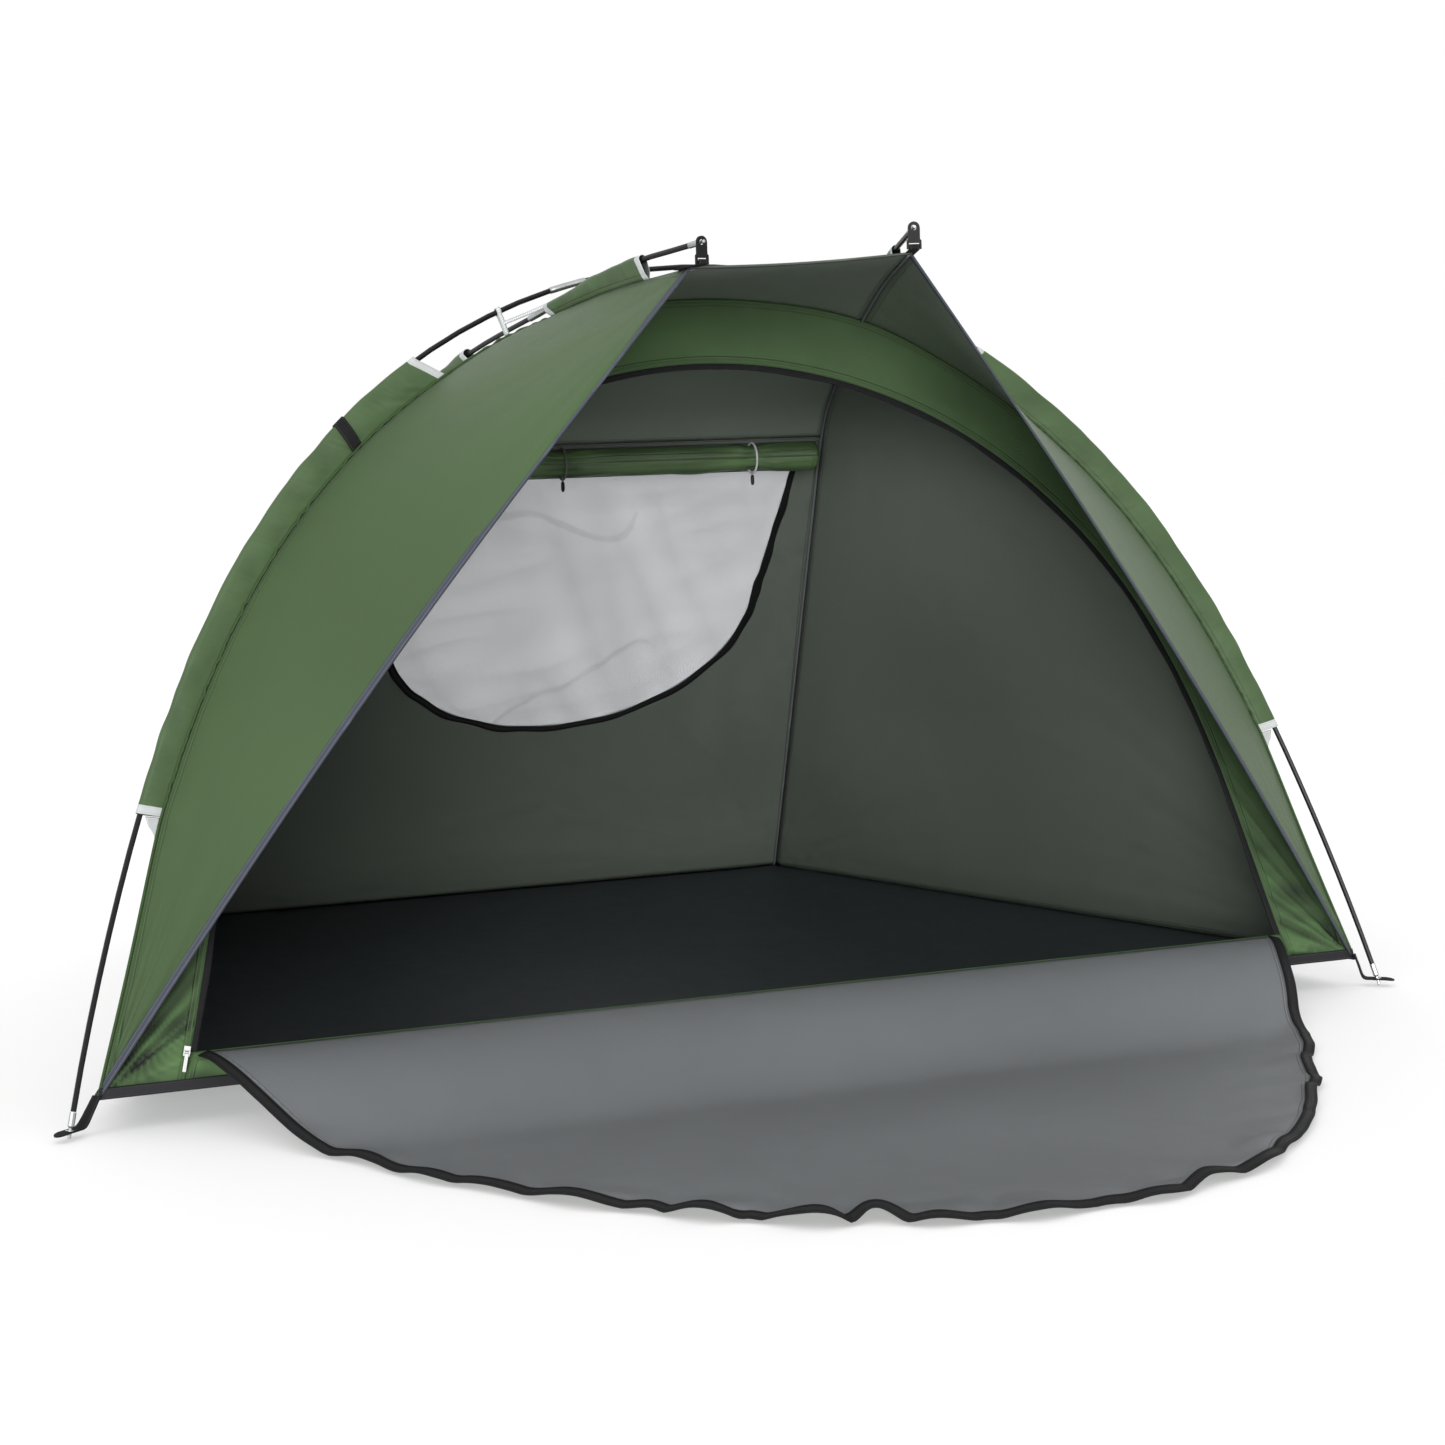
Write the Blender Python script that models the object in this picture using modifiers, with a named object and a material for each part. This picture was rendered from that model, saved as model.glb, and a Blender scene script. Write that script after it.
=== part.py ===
"""Beach shelter tent on three bent poles: a front hoop and two ridge poles that cross under it.

Metres, +Z up, +X to the right of someone facing the doorway, +Y towards the back.
The origin is on the ground, under the middle of the whole footprint with the door laid open.
"""

import math

import bmesh
import bpy
from mathutils import Matrix, Vector

# Driving dimensions
HALF_FEET = 1.05                  # front pole tips, from the centre line
FOOT_LINE = -0.40635              # Y of the two front pole tips
HOOP_LEAN = math.radians(13.3)    # the hoop and the front wall lean back
HOOP_SHAPE = (1.0, -0.231, 0.348, 0.053)    # reach of the hoop, in powers of the sine of its angle
DOORWAY_REACH = 0.904             # doorway arch, from the middle of its foot
DOORWAY_SHAPE = (1.0, -0.285, 0.687, -0.2155)
WING_BOW = 0.024                  # how far the wings' free edges bow out
SEAM_LOW, SEAM_TOP_EXTRA = 0.0285, 0.0230   # from the hoop pole in to its seam
LEG_HOLLOW = 0.008                # the seam is cut back this much more between the sleeve and the hem
HEM_UP = 0.050                    # hem of the front wall, up its slope
SILL_UP = 0.100                   # top of the door sill
SILL_HALF = 0.862
RIDGE_SEAM = (                    # side view of a ridge seam: behind the front feet, height
    (-0.165, 1.168), (0.050, 1.146), (0.262, 1.107), (0.420, 1.066), (0.555, 1.016),
    (0.680, 0.967), (0.780, 0.893), (0.900, 0.766), (1.260, 0.390), (1.630, 0.006),
)
RIDGE_HALF_FRONT, RIDGE_HALF_BACK = 0.166, 0.610
RIGHT_PEAK_RISE = 0.009           # the right corner of the visor is higher by this, the left one lower
CROSSING = (0.262, 1.107)         # the same, where the hoop seam crosses it
FRONT_OVERHANG = 0.026            # the ridge poles reach this far past the visor
BACK_SEAM = (0.740, 0.925)        # the same, where the roof ends and the back wall starts

POLE_RADIUS = 0.0040
FERRULE_RADIUS, FERRULE_LONG = 0.0048, 0.060
TIP_RADIUS, TIP_LONG = 0.0046, 0.022
PIN_RADIUS, PIN_LONG = 0.0026, 0.014
CLOTH = 0.002                     # thickness of every cloth solid
TRIM = 0.005                      # cloth stops this short of a shared seam
TOUCH = 0.0004                    # gap between pieces that touch
WEBBING = 0.0018

HOOP_SECTIONS = 7
RIDGE_SECTIONS = 5
LEG_ANGLE = math.radians(25.5)    # the hoop's sleeves start here
SLEEVE_END_ANGLE = math.radians(67.0)

WINDOW_HALF, WINDOW_LOW, WINDOW_ROUND, WINDOW_TOP = 0.352, 0.536, 0.325, 1.215
ROLL_RADIUS, ROLL_HALF, ROLL_UP, ROLL_IN = 0.0250, 0.366, 1.264, 0.033
LOOP_PLACES = {"left": -0.100, "right": 0.250}

DOOR_HALF, DOOR_REACH = 0.830, 0.905
DOOR_FULL, DOOR_BLUNT = 1.4, 2.0  # powers of its rounded outline
DOOR_SKEW = 0.036                 # its far end lies this much to the right
DOOR_DROP = 0.17                  # the door falls from its sill to the ground over this run

GREEN = (0.080, 0.150, 0.065)
COATED = (0.070, 0.083, 0.068)
DOOR_GREY = (0.170, 0.180, 0.190)
FLOOR_BLACK = (0.011, 0.013, 0.016)
MESH_GREY = (0.430, 0.460, 0.480)
BLACK = (0.010, 0.010, 0.011)
TAPE_WHITE = (0.560, 0.590, 0.590)
METAL = (0.550, 0.560, 0.570)

TENT = bpy.data.collections.new("BeachShelter")
CUTTERS = bpy.data.collections.new("Cutters")


def clear_scene():
    for thing in list(bpy.data.objects):
        bpy.data.objects.remove(thing, do_unlink=True)
    for collection in (TENT, CUTTERS):
        bpy.context.scene.collection.children.link(collection)
    CUTTERS.hide_render = True


def material(name, colour, roughness, metallic=0.0):
    made = bpy.data.materials.new(name)
    made.use_nodes = True
    shader = made.node_tree.nodes["Principled BSDF"]
    shader.inputs["Base Color"].default_value = (*colour, 1.0)
    shader.inputs["Roughness"].default_value = roughness
    shader.inputs["Metallic"].default_value = metallic
    return made


# Places

def at(across, back, up):
    """A point measured from the line between the two front feet."""
    return Vector((across, back + FOOT_LINE, up))


def on_front(across, up, out=0.0):
    """A point of the leaning front wall, and this far in front of it."""
    lean_back = up * math.sin(HOOP_LEAN) - out * math.cos(HOOP_LEAN)
    return at(across, lean_back, up * math.cos(HOOP_LEAN) + out * math.sin(HOOP_LEAN))


def arch_point(angle, foot_reach, shape, inset=0.0, out=0.0):
    """A point of an arch of the front wall, by its angle round from the right foot."""
    sine = math.sin(angle)
    reach = foot_reach * sum(k * sine**power for power, k in enumerate(shape)) - inset
    return on_front(reach * math.cos(angle), reach * sine, out)


def hoop_point(angle, inset=0.0):
    return arch_point(angle, HALF_FEET, HOOP_SHAPE, inset)


def seam_inset(angle):
    sine = math.sin(angle)
    leg = math.asin(min(sine, 1.0)) / LEG_ANGLE
    hollow = LEG_HOLLOW * math.sin(math.pi * leg) if leg < 1 else 0.0
    return SEAM_LOW + SEAM_TOP_EXTRA * sine**3 + hollow


def hoop_seam(angle, more=0.0):
    """Where the front wall, the roof and the wings are sewn together under the hoop."""
    return hoop_point(angle, seam_inset(angle) + more)


def doorway_point(angle, inset=0.0, out=0.0):
    return arch_point(angle, DOORWAY_REACH, DOORWAY_SHAPE, inset, out)


def catmull(points, steps):
    """A smooth curve through the points, as a dense list."""
    ends = [points[0] * 2 - points[1], *points, points[-1] * 2 - points[-2]]
    made = []
    for a, b, c, d in zip(ends, ends[1:], ends[2:], ends[3:]):
        for step in range(steps):
            t = step / steps
            made.append(0.5 * (2 * b + (c - a) * t + (2 * a - 5 * b + 4 * c - d) * t**2
                               + (3 * b - a - 3 * c + d) * t**3))
    return [*made, points[-1].copy()]


class Route:
    """A line in space that is read by distance along it."""

    def __init__(self, points):
        self.points = points
        self.far = [0.0]
        for a, b in zip(points, points[1:]):
            self.far.append(self.far[-1] + (b - a).length)
        self.length = self.far[-1]

    def at(self, distance):
        spot = min(max(distance, 0.0), self.length)
        i = next((k for k, far in enumerate(self.far[1:]) if far >= spot), len(self.far) - 2)
        span = self.far[i + 1] - self.far[i]
        return self.points[i].lerp(self.points[i + 1], (spot - self.far[i]) / span)

    def share(self, part):
        return self.at(part * self.length)

    def direction(self, distance, reach=0.004):
        return (self.at(distance + reach) - self.at(distance - reach)).normalized()

    def nearest(self, point):
        best = min(range(len(self.points)), key=lambda k: (self.points[k] - point).length)
        return self.far[best]

    def part(self, start, end, count):
        return [self.at(start + (end - start) * k / count) for k in range(count + 1)]


def ridge_half(back):
    front, last = RIDGE_SEAM[0][0], RIDGE_SEAM[-1][0]
    share = (back - front) / (last - front)
    return RIDGE_HALF_FRONT + share * (RIDGE_HALF_BACK - RIDGE_HALF_FRONT)


class Ridge:
    """One ridge of the tent: the seam its cloth is sewn along and the pole that rides above it."""

    LEAST, MOST, EASE = 0.013, 0.030, 0.35    # the pole is closest where it passes under the hoop
    RISE_FADES = 0.4                          # how far back one peak still stands higher than the other

    def __init__(self, side):
        knots = []
        for y, z in RIDGE_SEAM:
            raised = max(0.0, 1 - (y - RIDGE_SEAM[0][0]) / self.RISE_FADES)
            knots.append(at(side * ridge_half(y), y, z + side * RIGHT_PEAK_RISE * raised))
        self.seam = Route(catmull(knots, 12))
        self.crossing = self.seam.nearest(at(side * ridge_half(CROSSING[0]), *CROSSING))
        length = self.seam.length
        points = [self.over(length * k / 100) for k in range(101)]
        first = (points[0] - points[1]).normalized()
        last = (points[-1] - points[-2]).normalized()
        front_end = points[0] + first * FRONT_OVERHANG
        ground_end = points[-1] + last * (points[-1].z / -last.z)
        self.pole = Route([front_end, *points, ground_end])

    def over(self, spot):
        """The pole's centre above this place on the seam."""
        ahead = self.seam.direction(spot)
        upright = Vector((0, 0, 1)) - ahead * ahead.z
        away = min(1.0, abs(spot - self.crossing) / self.EASE)
        lift = self.LEAST + (self.MOST - self.LEAST) * away * away * (3 - 2 * away)
        return self.seam.at(spot) + upright.normalized() * lift


# Shapes

def add(name, data, stuff, collection=TENT):
    thing = bpy.data.objects.new(name, data)
    data.materials.append(stuff)
    collection.objects.link(thing)
    return thing


def sheet(name, surface, columns, rows, stuff, thickness=CLOTH, offset=0.0):
    """Cloth over surface(u, v), both from 0 to 1, made thick."""
    shape = bmesh.new()
    bmesh.ops.create_grid(shape, x_segments=columns, y_segments=rows, size=0.5)
    for vertex in shape.verts:
        vertex.co = surface(vertex.co.x + 0.5, vertex.co.y + 0.5)
    bmesh.ops.remove_doubles(shape, verts=shape.verts, dist=0.0001)
    bmesh.ops.dissolve_degenerate(shape, dist=0.0001, edges=shape.edges)
    data = bpy.data.meshes.new(name)
    shape.to_mesh(data)
    shape.free()
    thing = add(name, data, stuff)
    solid = thing.modifiers.new("Thickness", "SOLIDIFY")
    solid.thickness = thickness
    solid.offset = offset
    solid.use_even_offset = False
    return thing


def rod(name, points, radii, stuff, resolution=2, closed=False):
    """A round bar through the points, with its own radius at each."""
    data = bpy.data.curves.new(name, "CURVE")
    data.dimensions = "3D"
    data.bevel_depth = 1.0
    data.bevel_resolution = resolution
    data.use_fill_caps = not closed
    line = data.splines.new("POLY")
    line.points.add(len(points) - 1)
    for spot, point, radius in zip(line.points, points, radii):
        spot.co = (*point, 1.0)
        spot.radius = radius
    line.use_cyclic_u = closed
    return add(name, data, stuff)


def plate(name, loops, thickness, place, stuff):
    """A flat plate: the first loop is its edge, the others are holes."""
    data = bpy.data.curves.new(name, "CURVE")
    data.dimensions = "2D"
    data.fill_mode = "BOTH"
    data.extrude = thickness / 2
    for loop in loops:
        line = data.splines.new("POLY")
        line.points.add(len(loop) - 1)
        for spot, (x, y) in zip(line.points, loop):
            spot.co = (x, y, 0.0, 1.0)
        line.use_cyclic_u = True
    thing = add(name, data, stuff)
    thing.matrix_world = place
    return thing


def round_loop(centre, radius, count=14, start=0.0, turn=2 * math.pi):
    last = count if turn >= 2 * math.pi else count - 1
    return [(centre[0] + radius * math.cos(start + turn * k / last),
             centre[1] + radius * math.sin(start + turn * k / last)) for k in range(count)]


def cut(thing, cutter):
    cutter.hide_render = True
    cutter.display_type = "WIRE"
    hole = thing.modifiers.new("Cut", "BOOLEAN")
    hole.operation = "DIFFERENCE"
    hole.object = cutter


def cylinder_cutter(name, place, radius, depth, stuff):
    shape = bmesh.new()
    bmesh.ops.create_cone(shape, cap_ends=True, segments=14, radius1=radius, radius2=radius,
                          depth=depth, matrix=place)
    data = bpy.data.meshes.new(name)
    shape.to_mesh(data)
    shape.free()
    return add(name, data, stuff, CUTTERS)


def facing(origin, across, up):
    """A frame whose Y is up and whose X is as near across as that allows."""
    up = up.normalized()
    across = (across - up * across.dot(up)).normalized()
    out = across.cross(up)
    turned = Matrix((across, up, out)).transposed().to_4x4()
    return Matrix.Translation(origin) @ turned


def inset(a, b, share, start=TRIM, end=TRIM):
    """A point from a to b, stopping short of both by these lengths."""
    span = max((b - a).length, 1e-6)
    low, high = min(start / span, 0.45), 1 - min(end / span, 0.45)
    return a.lerp(b, low + (high - low) * share)


# Poles

def pole_sections(names, route, start, end, stuff):
    """Sections of one pole, end to end. Each but the last ends in its ferrule."""
    long = (end - start) / len(names)
    for k, name in enumerate(names):
        first, last = start + k * long, start + (k + 1) * long - TOUCH
        plain = last if k == len(names) - 1 else last - FERRULE_LONG
        points = route.part(first, plain, 8)
        radii = [POLE_RADIUS] * len(points)
        if plain < last:
            points += [route.at(plain + 0.001), route.at((plain + last) / 2), route.at(last)]
            radii += [FERRULE_RADIUS] * 3
        rod(name, points, radii, stuff)


def pole_tip(name, joint, outward, stuff, pin_long=PIN_LONG):
    """The metal end of a pole, with the pin that goes through the foot's eyelet."""
    steps = ((0.0, TIP_RADIUS), (TIP_LONG - 0.003, TIP_RADIUS), (TIP_LONG, PIN_RADIUS),
             (TIP_LONG + pin_long - 0.001, PIN_RADIUS), (TIP_LONG + pin_long, PIN_RADIUS * 0.6))
    rod(name, [joint + outward * far for far, _ in steps], [r for _, r in steps], stuff)


def build_poles(fibre, metal):
    hoop = Route([hoop_point(math.pi * k / 240) for k in range(241)])
    leg = hoop.direction(0.03)
    end = (TIP_LONG + PIN_LONG) + 0.0012
    names = [f"hoop_pole_section_{k + 1}" for k in range(HOOP_SECTIONS)]
    pole_sections(names, hoop, end, hoop.length - end, fibre)
    pole_tip("hoop_tip_right", hoop.at(end - TOUCH), -leg, metal)
    away = hoop.direction(hoop.length - 0.03)
    pole_tip("hoop_tip_left", hoop.at(hoop.length - end + TOUCH), away, metal)
    for side, word in ((-1, "left"), (1, "right")):
        ridge = Ridge(side).pole
        names = [f"ridge_pole_{word}_section_{k + 1}" for k in range(RIDGE_SECTIONS)]
        last = ridge.length - end - 0.003
        pole_sections(names, ridge, TIP_LONG, last, fibre)
        ahead = -ridge.direction(0.03)
        pole_tip(f"ridge_tip_{word}_front", ridge.at(TIP_LONG - TOUCH), ahead, metal)
        down = ridge.direction(ridge.length - 0.03)
        pole_tip(f"ridge_tip_{word}_back", ridge.at(last + TOUCH), down, metal)


# Cloth

def crossing_angle():
    """The hoop angle at which a ridge seam meets the hoop seam."""
    return min((math.radians(60 + k / 20) for k in range(600)),
               key=lambda a: abs(hoop_seam(a).x - ridge_half(CROSSING[0])))


HEM_ANGLE = math.asin(HEM_UP / (HALF_FEET - SEAM_LOW))


def mirrored(point, side):
    return Vector((point.x * side, point.y, point.z))


def seam_down(share):
    """Right hoop seam from the ridge crossing down to the hem corner."""
    top = crossing_angle()
    return hoop_seam(top + (HEM_ANGLE - top) * share)


def build_wings(stuff):
    """The wings: sewn to the hoop seam and to the visor's ridge, with a free edge in front."""
    for side, word in ((-1, "left"), (1, "right")):
        ridge = Ridge(side)
        corner = mirrored(hoop_seam(HEM_ANGLE), side)
        bow = Vector((0.65 * side, 0.0, 0.55)) * WING_BOW

        def wing(u, v, side=side, ridge=ridge, corner=corner, bow=bow):
            down = 0.006 + v * 0.970
            peak, far = ridge.seam.at(0), ridge.crossing
            free = peak.lerp(corner, down) + bow * math.sin(math.pi * down)
            top = ridge.seam.at(far * (1 - u)) - ridge.seam.at(far).lerp(peak, u)
            return inset(mirrored(seam_down(down), side), free, u, end=0.0) + top * (1 - down) ** 3

        sheet(f"{word}_wing", wing, 5, 14, stuff)


def build_side_walls(stuff):
    ridge = Ridge(1).seam
    far = ridge.nearest(hoop_seam(crossing_angle()))

    def wall(u, v):
        down = 0.035 + v * 0.961
        return inset(seam_down(down), ridge.at(far + (ridge.length - far) * down), u)

    for side, word in ((-1, "left"), (1, "right")):
        sheet(f"{word}_side_wall", lambda u, v, s=side: mirrored(wall(u, v), s), 5, 14, stuff)


def build_top(green):
    left, right = Ridge(-1).seam, Ridge(1).seam
    top = crossing_angle()
    far = right.nearest(hoop_seam(top))
    seam_at = right.nearest(at(ridge_half(BACK_SEAM[0]), *BACK_SEAM))

    def arc(u):
        return hoop_seam(math.pi - top + (2 * top - math.pi) * u)

    def visor(u, v):
        across = 0.018 + 0.964 * u
        eave = left.at(0).lerp(right.at(0), across)
        seam = arc(across)
        straight = left.at(far).lerp(right.at(far), across)
        spot = left.at(far * (1 - v)).lerp(right.at(far * (1 - v)), across)
        return spot + (seam - straight) * (1 - v) ** 1.3 + (eave - seam).normalized() * TRIM * (1 - v)

    def roof(u, v):
        across = 0.014 + 0.972 * u
        run = far + TRIM + (seam_at - far - 2 * TRIM) * v
        straight = left.at(far).lerp(right.at(far), across)
        return left.at(run).lerp(right.at(run), across) + (arc(across) - straight) * (1 - v) ** 1.6

    sheet("visor", visor, 10, 4, green)
    sheet("roof", roof, 10, 5, green)
    return seam_at


def build_front(green, black):
    low = HEM_ANGLE

    def band(u, v):
        angle = math.pi - low + (2 * low - math.pi) * u
        return inset(doorway_point(angle), hoop_seam(angle), v, start=0.014)

    def sill(u, v):
        return on_front(SILL_HALF * (2 * u - 1), HEM_UP + (SILL_UP - HEM_UP) * v)

    def track(u, v):
        first = math.asin((SILL_UP - 0.012) / DOORWAY_REACH)
        angle = math.pi - first + (2 * first - math.pi) * u
        return doorway_point(angle, inset=0.001 - 0.013 * v)

    sheet("front_arch_band", band, 40, 2, green)
    sheet("front_sill", sill, 8, 1, green)
    sheet("door_zip_track", track, 40, 1, black, thickness=0.003)


def back_plane():
    """Frame of the back wall: X across, Y up its slope, Z into the tent."""
    foot, top = RIDGE_SEAM[-1], RIDGE_SEAM[-3]
    low, high = at(0, *foot), at(0, *top)
    return facing(low, Vector((1, 0, 0)), high - low)


def window_loop(grow):
    """The D of the window on the back wall, grown by this much."""
    centre = WINDOW_LOW + WINDOW_ROUND
    half, deep = WINDOW_HALF + grow, WINDOW_ROUND + grow
    turns = [math.pi + math.pi * k / 16 for k in range(17)]
    bowl = [(half * math.cos(turn), centre + deep * math.sin(turn)) for turn in turns]
    return [*bowl, (half, WINDOW_TOP + grow), (-half, WINDOW_TOP + grow)]


def build_back(coated, mesh_stuff, green, seam_at):
    left, right = Ridge(-1).seam, Ridge(1).seam
    start, end = seam_at + TRIM, right.length - 0.004

    def wall(u, v):
        run = start + (end - start) * v
        return inset(left.at(run), right.at(run), u, start=TRIM * 1.4, end=TRIM * 1.4)

    back = sheet("back_wall", wall, 4, 8, coated)
    shape = bmesh.new()
    loop = [shape.verts.new((x, y, -0.05)) for x, y in window_loop(0.0)]
    face = shape.faces.new(loop)
    grown = bmesh.ops.extrude_face_region(shape, geom=[face])
    risen = [v for v in grown["geom"] if isinstance(v, bmesh.types.BMVert)]
    bmesh.ops.translate(shape, verts=risen, vec=(0, 0, 0.10))
    bmesh.ops.recalc_face_normals(shape, faces=shape.faces)
    shape.transform(back_plane())
    data = bpy.data.meshes.new("window_cutter")
    shape.to_mesh(data)
    shape.free()
    cut(back, add("window_cutter", data, coated, CUTTERS))
    plate("window_mesh", [window_loop(-0.0015)], 0.001, back_plane(), mesh_stuff)
    centre = back_plane() @ Vector((0, ROLL_UP, ROLL_IN))
    reach = Vector((ROLL_HALF, 0, 0))
    ends = [centre - reach, centre - reach * 0.5, centre + reach * 0.5, centre + reach]
    rod("rolled_window_flap", ends, [ROLL_RADIUS] * 4, green, resolution=4)
    return centre


def build_floor(stuff):
    """The groundsheet: flat on the ground, rising to the hem all along its front and sides."""
    front, corner_half = HEM_UP * math.sin(HOOP_LEAN) + 0.006, hoop_seam(HEM_ANGLE).x - 0.012
    back = RIDGE_SEAM[-1][0] - 0.010
    hem_high = HEM_UP * math.cos(HOOP_LEAN) - 0.004

    def ease(x):
        x = min(max(x, 0.0), 1.0)
        return x * x * (3 - 2 * x)

    def surface(u, v):
        half = corner_half + (RIDGE_HALF_BACK - 0.012 - corner_half) * v
        edge = abs(2 * u - 1)
        rise = max(1 - ease(v / 0.15), ease((edge - 0.62) / 0.38) * (1 - v))
        return at(half * (2 * u - 1), front + (back - front) * v, 0.001 + hem_high * rise)

    sheet("floor", surface, 14, 14, stuff)


def build_door(stuff):
    """The door, unzipped, hanging from its sill and laid out on the ground in front."""
    hinge = on_front(0, SILL_UP - 0.002, 0.005)

    def surface(u, v):
        reached = math.sin(math.radians(84) * v)
        run = DOOR_REACH * reached
        half = DOOR_HALF * (1 - reached**DOOR_FULL) ** (1 / DOOR_BLUNT)
        drop = min(run / DOOR_DROP, 1.0)
        fall = (hinge.z - 0.0018) * (1 - drop * drop * (3 - 2 * drop))
        return Vector((half * (1 - 2 * u) + DOOR_SKEW * reached, hinge.y - run, 0.0018 + fall))

    sheet("door_panel", surface, 10, 18, stuff)


# Sleeves, webbing and small parts

def sleeve(name, seam, pole, stuff, columns, bore=0.0064):
    """A cloth channel from its seam round a pole and back: seam(u) and pole(u) give its two lines."""
    rounds = 5
    off_seam, wall = 0.0045, 0.0012

    def surface(u, v):
        root, centre = seam(u), pole(u)
        ahead = (pole(min(u + 0.01, 1.0)) - pole(max(u - 0.01, 0.0))).normalized()
        outward = centre - root
        outward = (outward - ahead * outward.dot(ahead)).normalized()
        sideways = ahead.cross(outward)
        swing = -1 + 2 * v
        if abs(swing) > 0.55:
            out = (1 - abs(swing)) / 0.45
            side = math.copysign(1, swing)
            flat = (root + outward * off_seam).lerp(centre, out)
            return flat + sideways * side * (wall + (bore - wall) * out)
        turn = swing / 0.55 * math.pi / 2
        return centre + outward * bore * math.cos(turn) + sideways * bore * math.sin(turn)

    return sheet(name, surface, columns, 2 * rounds, stuff, thickness=wall)


def build_sleeves(green):
    for side, word in ((-1, "left"), (1, "right")):
        def hoop_angle(u):
            return LEG_ANGLE + (SLEEVE_END_ANGLE - LEG_ANGLE) * u

        sleeve(f"{word}_hoop_sleeve", lambda u, s=side: mirrored(hoop_seam(hoop_angle(u)), s),
               lambda u, s=side: mirrored(hoop_point(hoop_angle(u)), s), green, 18)
        ridge = Ridge(side)
        for place, start, end, columns, bore in (
            ("visor", 0.120, ridge.crossing - 0.045, 5, 0.0064),
            ("back", ridge.crossing + 0.215, ridge.seam.length - 0.34, 24, 0.0078),
        ):
            def run(u, a=start, b=end):
                return a + (b - a) * u

            sleeve(f"{word}_{place}_sleeve", lambda u, r=run, g=ridge: g.seam.at(r(u)),
                   lambda u, r=run, g=ridge: g.over(r(u)), green, columns, bore=bore)


def strap(name, points, width, across, stuff, thickness=WEBBING):
    """Flat webbing along the points; across gives its width direction at each."""
    def surface(u, v):
        spot = v * (len(points) - 1)
        i = min(int(spot), len(points) - 2)
        centre = points[i].lerp(points[i + 1], spot - i)
        wide = across[i].lerp(across[i + 1], spot - i).normalized()
        return centre + wide * width * (u - 0.5)

    return sheet(name, surface, 1, len(points) - 1, stuff, thickness=thickness)


def build_feet(webbing):
    """A webbing foot at each ground corner, with an eyelet for the pole's pin."""
    high = 0.011
    corner = hoop_seam(HEM_ANGLE)
    front_pin = hoop_point(high / HALF_FEET)
    outward = Vector((0.78, -0.62, 0))
    back_line = Ridge(1).pole
    down = back_line.direction(back_line.length - 0.03)
    back_pin = back_line.at(back_line.length) - down * (high / -down.z)
    back_way = Vector((down.x, down.y, 0)).normalized()
    for side, word in ((-1, "left"), (1, "right")):
        for place, pin, way, pole, top in (
            ("front", front_pin, outward, hoop_point(0.02) - hoop_point(0),
             corner + Vector((0.004, -0.002, -0.004))),
            ("back", back_pin, back_way, down, at(RIDGE_HALF_BACK + 0.004, 1.640, 0.010)),
        ):
            bend = pin - way * 0.024
            points = [top, top.lerp(bend, 0.5), bend, pin, pin + way * 0.027]
            sideways = Vector((way.y, -way.x, 0)).normalized()
            name = f"foot_strap_{word}_{place}"
            foot = strap(name, [mirrored(p, side) for p in points], 0.022,
                         [mirrored(sideways, side)] * len(points), webbing)
            hole = mirrored(pin, side)
            along = mirrored(pole, side).to_track_quat("Z", "Y").to_matrix().to_4x4()
            cut(foot, cylinder_cutter(name + "_eyelet", Matrix.Translation(hole) @ along, 0.0050, 0.02,
                                      webbing))


def buckle_loops():
    """Outline of the corner fitting: a round eye above a ladder bar with its slot."""
    eye = round_loop((0.0, 0.0), 0.0085, 9, 0.0, math.pi)
    body = [*eye, (-0.0085, -0.016), (-0.0105, -0.018), (-0.0105, -0.030), (0.0105, -0.030),
            (0.0105, -0.018), (0.0085, -0.016)]
    slot = [(-0.0075, -0.0250), (0.0075, -0.0250), (0.0075, -0.0215), (-0.0075, -0.0215)]
    return [body, round_loop((0.0, 0.0), 0.0040, 10), slot]


def build_visor_fittings(plastic, webbing):
    for side, word in ((-1, "left"), (1, "right")):
        ridge = Ridge(side)
        pole = ridge.pole
        ahead = pole.direction(0.02)
        eye = pole.at(TIP_LONG) - ahead * (TIP_LONG + PIN_LONG * 0.5)
        place = facing(eye, Vector((ahead.y, -ahead.x, 0)), Vector((0, 0, 1)))
        plate(f"visor_buckle_{word}", buckle_loops(), 0.003, place, plastic)
        corner = ridge.seam.at(0)
        low = place @ Vector((0, -0.0318, 0))
        wide = place.to_3x3() @ Vector((1, 0, 0))
        end = corner + (corner - low).normalized() * -0.004
        points = [low, low.lerp(end, 0.5), end]
        strap(f"visor_strap_{word}", points, 0.016, [wide] * 3, webbing)


def build_ties(tape, webbing):
    """The tape that ties the hoop down beside each crossing, and the closing strap on the left sleeve."""
    angle = math.radians(74.3)
    for side, word in ((-1, "left"), (1, "right")):
        top = hoop_point(angle, 0.0062)
        low = hoop_seam(angle, -0.008)
        points = [mirrored(top.lerp(low, k / 3), side) for k in range(4)]
        ahead = mirrored((hoop_point(angle + 0.02) - hoop_point(angle - 0.02)).normalized(), side)
        strap(f"crossing_tie_{word}", points, 0.010, [ahead] * 4, tape, thickness=0.001)
    angle = math.radians(59.5)
    centre = mirrored(hoop_point(angle), -1)
    root = mirrored(hoop_seam(angle), -1)
    ahead = mirrored((hoop_point(angle + 0.02) - hoop_point(angle - 0.02)).normalized(), -1)
    outward = (centre - root).normalized()
    sideways = ahead.cross(outward)
    bow = [(-0.006, -0.0095), (0.004, -0.0095), (0.0085, -0.0055), (0.0098, 0.0), (0.0085, 0.0055),
           (0.004, 0.0095), (-0.006, 0.0095)]
    points = [centre + outward * a + sideways * b for a, b in bow]
    strap("sleeve_strap_left", points, 0.022, [ahead] * len(points), webbing, thickness=0.001)


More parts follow.
